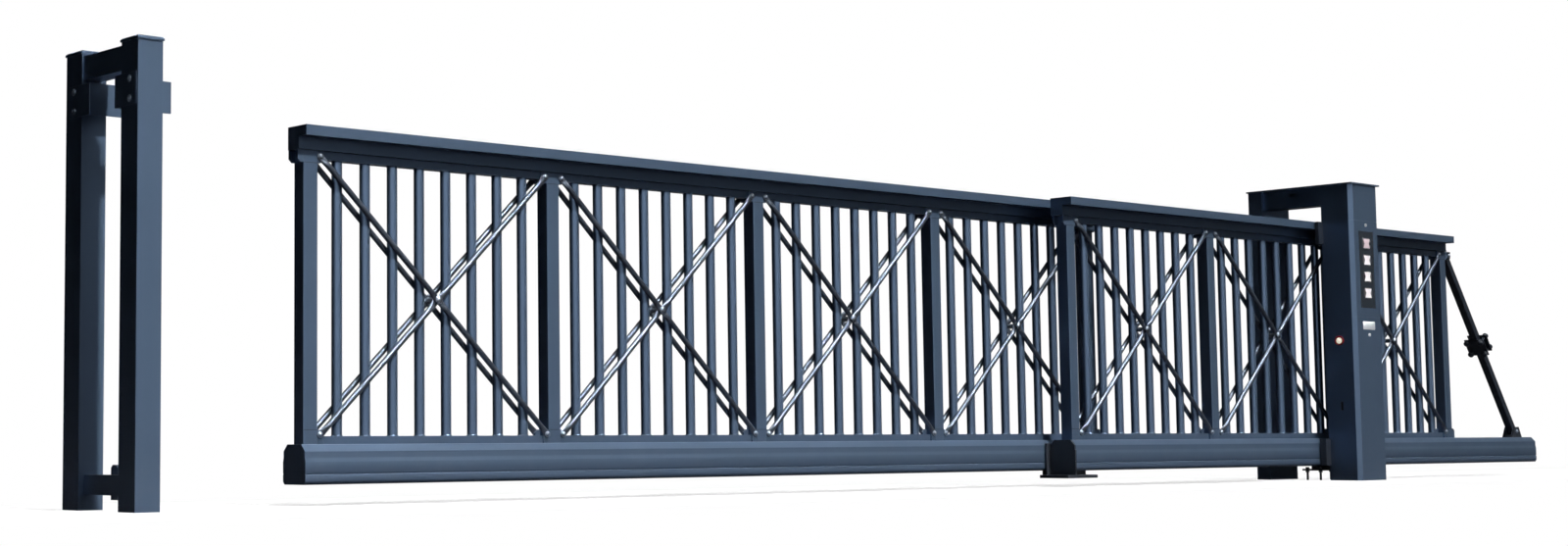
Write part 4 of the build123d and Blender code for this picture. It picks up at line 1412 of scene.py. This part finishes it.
@dataclass(frozen=True)
class CatchFixings:
    """Bolts of the catch portal's guide angles and the rubber on its stop."""

    bolt: DomeBolt = DomeBolt(
        washer_radius=0.017, washer_height=0.0008, head_radius=0.0145, head_height=0.0029
    )
    bolt_heights: tuple[float, float] = (1.899, 1.811)
    flange: float = 0.002
    flange_gap: float = 0.0001
    flange_bevel: float = 0.0006
    plate: float = 0.006
    plate_bevel: float = 0.001
    rubber_thickness: float = 0.008
    rubber_side: float = 0.008
    rubber_foot: float = 0.020
    rubber_head: float = 0.030
    rubber_bevel: float = 0.002

    def build(self) -> None:
        """Make the guide angles with their bolts, and the stop's rubber."""
        shape = Shape()
        for place in ("front", "rear"):
            post_low, post_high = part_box(f"catch_post_{place}")
            self.add_angle(f"catch_guide_{place}", post_low.x)
            for z in self.bolt_heights:
                seat = Vector((post_low.x - self.flange, (post_low.y + post_high.y) / 2, z))
                self.bolt.add(shape, seat, Vector((-1, 0, 0)))
        shape.piece("guide_bolts", Body.PORTALS, [PAINTED_BOLT])
        low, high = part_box("catch_stop_lug")
        rubber = Shape()
        rubber.block(
            Vector((high.x, low.y + self.rubber_side, low.z + self.rubber_foot)),
            Vector((high.x + self.rubber_thickness, high.y - self.rubber_side, high.z - self.rubber_head)),
            self.rubber_bevel,
        )
        rubber.piece("stop_rubber", Body.PORTALS, [RUBBER])

    def add_angle(self, node: str, post_x: float) -> None:
        """Make a guide angle with a thin flange, so that its bolt heads stay inside the plain one's box.

        Args:
            node: The plain angle's name.
            post_x: The face of the post that carries it.
        """
        low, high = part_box(node)
        start_x = post_x - self.flange
        inner = low.y if node.endswith("rear") else high.y - self.plate
        shape = Shape()
        shape.block(
            Vector((start_x, low.y, low.z)),
            Vector((post_x - self.flange_gap, high.y, high.z)),
            self.flange_bevel,
        )
        shape.block(
            Vector((start_x, inner, low.z)),
            Vector((high.x, inner + self.plate, high.z)),
            self.plate_bevel,
        )
        thing = shape.piece(f"pressed_{node}", Body.PORTALS, [FRAME_PAINT])
        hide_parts(node)


@dataclass(frozen=True)
class StrutFixings:
    """Bolts through the strut's ears and domed knobs on its clamp."""

    bolt: DomeBolt = DomeBolt(washer_radius=0.015, head_radius=0.012, head_height=0.009)
    knob_radius: float = 0.021
    knob_dome: Outline = ((0, 1), (0.003, 0.95), (0.006, 0.75), (0.008, 0.4), (0.0085, 0))
    bolt_spread: float = 0.106
    bolt_pitch: float = 0.100
    grip: float = 0.0253
    plate: float = 0.010
    knob_stand: float = 0.022
    head_inset: float = 0.022
    foot_rise: float = 0.047

    def build(self) -> None:
        """Make the ear bolts and the clamp's knobs."""
        shape = Shape()
        head_low, head_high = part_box("strut_head_ears")
        foot_low, foot_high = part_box("strut_foot_ears")
        head = Vector((head_high.x - self.head_inset, 0, (head_low.z + head_high.z) / 2))
        foot = Vector(((foot_low.x + foot_high.x) / 2, 0, foot_low.z + self.foot_rise))
        for place, low, high in ((head, head_low, head_high), (foot, foot_low, foot_high)):
            for y, side in ((low.y, -1), (high.y, 1)):
                self.bolt.add(shape, Vector((place.x, y, place.z)), Vector((0, side, 0)))
        shape.piece("strut_ear_bolts", Body.NEAR_LEAF, [BOLT_STEEL])
        self.knobs()

    def knobs(self) -> None:
        """Cap every clamp bolt with a dome."""
        low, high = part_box("strut_clamp")
        strut_low, strut_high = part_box("tail_strut")
        middle = Vector(((low.x + high.x) / 2, (low.y + high.y) / 2, (low.z + high.z) / 2))
        run = Vector((strut_high.x - strut_low.x, 0, strut_low.z - strut_high.z)).normalized()
        normal = Vector((-run.z, 0, run.x))
        shape = Shape()
        reach = self.grip + self.plate + self.knob_stand
        dome = [(rise, self.knob_radius * share) for rise, share in self.knob_dome]
        for side in (-1, 1):
            for y in (-self.bolt_spread / 2, self.bolt_spread / 2):
                for s in (-self.bolt_pitch / 2, self.bolt_pitch / 2):
                    seat = middle + run * s + Vector((0, y, 0)) + normal * (side * reach)
                    shape.turned(seat, normal * side, dome, 20)
        shape.piece("clamp_domes", Body.NEAR_LEAF, [BLACK_PAINT])


@dataclass(frozen=True)
class CadDress:
    """Finishes and softened edges for the parts that are shown as they are."""

    bevel: float = 0.0015
    fine_bevel: float = 0.0008
    sharp_angle: float = 35.0
    fine_nodes: tuple[str, ...] = (
        "lamp_panel", "lock_cylinders", "signal_lamps", "photocell_rim", "photocell_lens",
    )

    def dress(self) -> None:
        """Give every shown part its finish."""
        slots = {part["node"]: Slot(part["material_slot"]) for part in frame["record"]["subparts"]}
        for node, thing in frame["nodes"].items():
            if thing.hide_render:
                continue
            finish = FINISH_OF_SLOT[slots[node]]
            # The lamp bodies take the near-black lamp finish: painted shade on the lenses' darker sides.
            if node == "signal_lamps":
                finish = LAMP_PAINTED_SHADE
            thing.data.materials.clear()
            thing.data.materials.append(finish.material())
            self.soften(thing, self.fine_bevel if node in self.fine_nodes else self.bevel)
        log.info("dressed %d parts", len(frame["nodes"]))

    def soften(self, thing: bpy.types.Object, width: float) -> None:
        """Merge a part's flat faces and bevel its sharp edges.

        Args:
            thing: The part.
            width: The bevel's width.
        """
        flat = thing.modifiers.new("flat faces", "DECIMATE")
        flat.decimate_type = "DISSOLVE"
        flat.angle_limit = math.radians(1)
        edge = thing.modifiers.new("soft edges", "BEVEL")
        edge.width = width
        edge.segments = 2
        edge.limit_method = "ANGLE"
        edge.angle_limit = math.radians(self.sharp_angle)
        edge.harden_normals = True
        edge.use_clamp_overlap = True
        smooth_by_angle(thing.data, self.sharp_angle)


# Studio

@dataclass(frozen=True)
class SoftBox:
    """A square lamp that the camera doesn't see."""

    name: str
    place: Point
    aim: Point
    width: float
    height: float
    watts: float
    spread: float = 180.0

    def build(self) -> None:
        """Hang the lamp and turn it to its aim."""
        data = bpy.data.lights.new(self.name, "AREA")
        data.shape = "RECTANGLE"
        data.size = self.width
        data.size_y = self.height
        data.energy = self.watts
        data.spread = math.radians(self.spread)
        lamp = bpy.data.objects.new(self.name, data)
        bpy.context.scene.collection.objects.link(lamp)
        lamp.location = self.place
        lamp.rotation_mode = "QUATERNION"
        lamp.rotation_quaternion = (Vector(self.aim) - Vector(self.place)).to_track_quat("-Z", "Y")
        lamp.visible_camera = False
        log.info("soft box %s", self.name)


@dataclass(frozen=True)
class Camera:
    """The viewpoint of the photograph."""

    place: Point = (-14.5535, -8.3965, 0.293)
    yaw: float = 39.1057
    pitch: float = 4.7538
    roll: float = -0.3215
    lens: float = 51.617
    sensor: float = 36.0
    clip: tuple[float, float] = (0.1, 400.0)
    shift_x: float = 0.1844
    shift_y: float = -0.0111

    def build(self) -> None:
        """Set the camera up."""
        data = bpy.data.cameras.new("camera")
        data.sensor_width = self.sensor
        data.lens = self.lens
        data.shift_x = self.shift_x
        data.shift_y = self.shift_y
        data.clip_start, data.clip_end = self.clip
        camera = bpy.data.objects.new("camera", data)
        bpy.context.scene.collection.objects.link(camera)
        yaw, pitch, roll = (math.radians(angle) for angle in (self.yaw, self.pitch, self.roll))
        flat = math.cos(pitch)
        ahead = Vector((flat * math.sin(yaw), flat * math.cos(yaw), math.sin(pitch)))
        level = Vector((math.cos(yaw), -math.sin(yaw), 0))
        up = level.cross(ahead)
        right = level * math.cos(roll) + up * math.sin(roll)
        above = up * math.cos(roll) - level * math.sin(roll)
        turn = Matrix((right, above, -ahead)).transposed().to_4x4()
        camera.matrix_world = Matrix.Translation(self.place) @ turn
        bpy.context.scene.camera = camera


@dataclass(frozen=True)
class Studio:
    """Floor, surroundings and lamps."""

    floor_size: float = 240.0
    floor_glow: float = 0.72
    floor_middle_y: float = 0.35
    fade_beside: tuple[float, float] = (0.3, 1.3)
    fade_past: tuple[float, float] = (9.0, 12.0)
    pale: Colour = (0.9, 0.9, 0.9)
    dull: Colour = (0.05, 0.05, 0.055)
    white: Colour = (1.0, 1.0, 1.0)
    matt_grey: Colour = (0.85, 0.92, 1.0)
    gloss_grey: Colour = (0.9, 0.95, 1.0)
    matt_level: float = 0.02
    gloss_level: float = 2.0
    front_fade: tuple[float, ...] = (-0.12, -0.5, 0.001, 1.0)
    left_fade: tuple[float, ...] = (0.7, -1.0, 0.06, 1.0)
    high_fade: tuple[float, ...] = (0.2, 0.8, 1.0, 1.8)
    boxes: tuple[SoftBox, ...] = (
        SoftBox("key soft box", (1.0, -160.0, 191.0), (-13.0, 0.3, 0.8), 14.0, 14.0, 8000.0, spread=14.0),
        SoftBox("top soft box", (-3.0, -8.0, 38.0), (-3.0, 0.3, 0.0), 8.0, 6.0, 9000.0),
    )

    def build(self) -> None:
        """Set the whole studio up."""
        self.floor()
        self.surroundings()
        for box in self.boxes:
            box.build()
        bpy.context.scene.view_settings.view_transform = "Standard"

    def floor(self) -> None:
        """Lay a pale floor that keeps the gate's shadow and throws little light back."""
        half = self.floor_size / 2
        mesh = bpy.data.meshes.new("floor")
        corners = [(-half, -half, 0), (half, -half, 0), (half, half, 0), (-half, half, 0)]
        mesh.from_pydata(corners, [], [(0, 1, 2, 3)])
        floor = bpy.data.objects.new("floor", mesh)
        bpy.context.scene.collection.objects.link(floor)
        material = bpy.data.materials.new("floor")
        material.use_nodes = True
        material.node_tree.nodes.clear()
        graph = Graph(material.node_tree)
        place = graph.split(graph.add("ShaderNodeNewGeometry").outputs["Position"]).outputs
        off = graph.math("ABSOLUTE", graph.math("SUBTRACT", place["Y"], self.floor_middle_y))
        beside = graph.spread(off, *self.fade_beside, self.floor_glow, 1.0)
        past = graph.spread(graph.math("ABSOLUTE", place["X"]), *self.fade_past, self.floor_glow, 1.0)
        seen = graph.either(
            graph.math("MAXIMUM", beside, past),
            graph.shader("ShaderNodeBsdfDiffuse", Color=(*self.pale, 1)),
            graph.shader("ShaderNodeEmission", Color=(*self.white, 1)),
        )
        dull = graph.shader("ShaderNodeBsdfDiffuse", Color=(*self.dull, 1))
        by_camera = graph.add("ShaderNodeLightPath").outputs["Is Camera Ray"]
        sink = graph.add("ShaderNodeOutputMaterial")
        graph.feed(graph.either(by_camera, dull, seen), sink.inputs["Surface"])
        mesh.materials.append(material)

    def surroundings(self) -> None:
        """Surround the gate with white for the camera and with soft greys for its surfaces."""
        world = bpy.data.worlds.new("surroundings")
        bpy.context.scene.world = world
        world.use_nodes = True
        world.node_tree.nodes.clear()
        graph = Graph(world.node_tree)
        way = graph.split(graph.add("ShaderNodeTexCoord").outputs["Generated"]).outputs
        front = graph.spread(way["Y"], *self.front_fade)
        left = graph.spread(way["X"], *self.left_fade)
        high = graph.math("MULTIPLY", graph.spread(way["Z"], *self.high_fade), self.gloss_level)
        level = graph.math("MULTIPLY", graph.math("MULTIPLY", front, left), high)
        backdrop = "ShaderNodeBackground"
        matt = graph.shader(backdrop, Color=(*self.matt_grey, 1), Strength=self.matt_level)
        gloss = graph.shader(backdrop, Color=(*self.gloss_grey, 1), Strength=level)
        white = graph.shader(backdrop, Color=(*self.white, 1))
        rays = graph.add("ShaderNodeLightPath").outputs
        for_gloss = graph.either(rays["Is Glossy Ray"], matt, gloss)
        sink = graph.add("ShaderNodeOutputWorld")
        graph.feed(graph.either(rays["Is Camera Ray"], for_gloss, white), sink.inputs["Surface"])


def main() -> None:
    """Build every sub-assembly, then the studio."""
    leaves = (
        LeafLine("far", Body.FAR_LEAF, 4),
        LeafLine("near", Body.NEAR_LEAF, 3),
    )
    for leaf in leaves:
        Bars(leaf).build()
        CrossRods(leaf).build()
        Posts(leaf).build()
        BottomRail(leaf).build()
        PlateFixings(leaf).build()
    LinkSole().build()
    DrivePanelDetails().build()
    CatchFixings().build()
    StrutFixings().build()
    CadDress().dress()
    Studio().build()
    Camera().build()


if __name__ == "__main__":
    main()
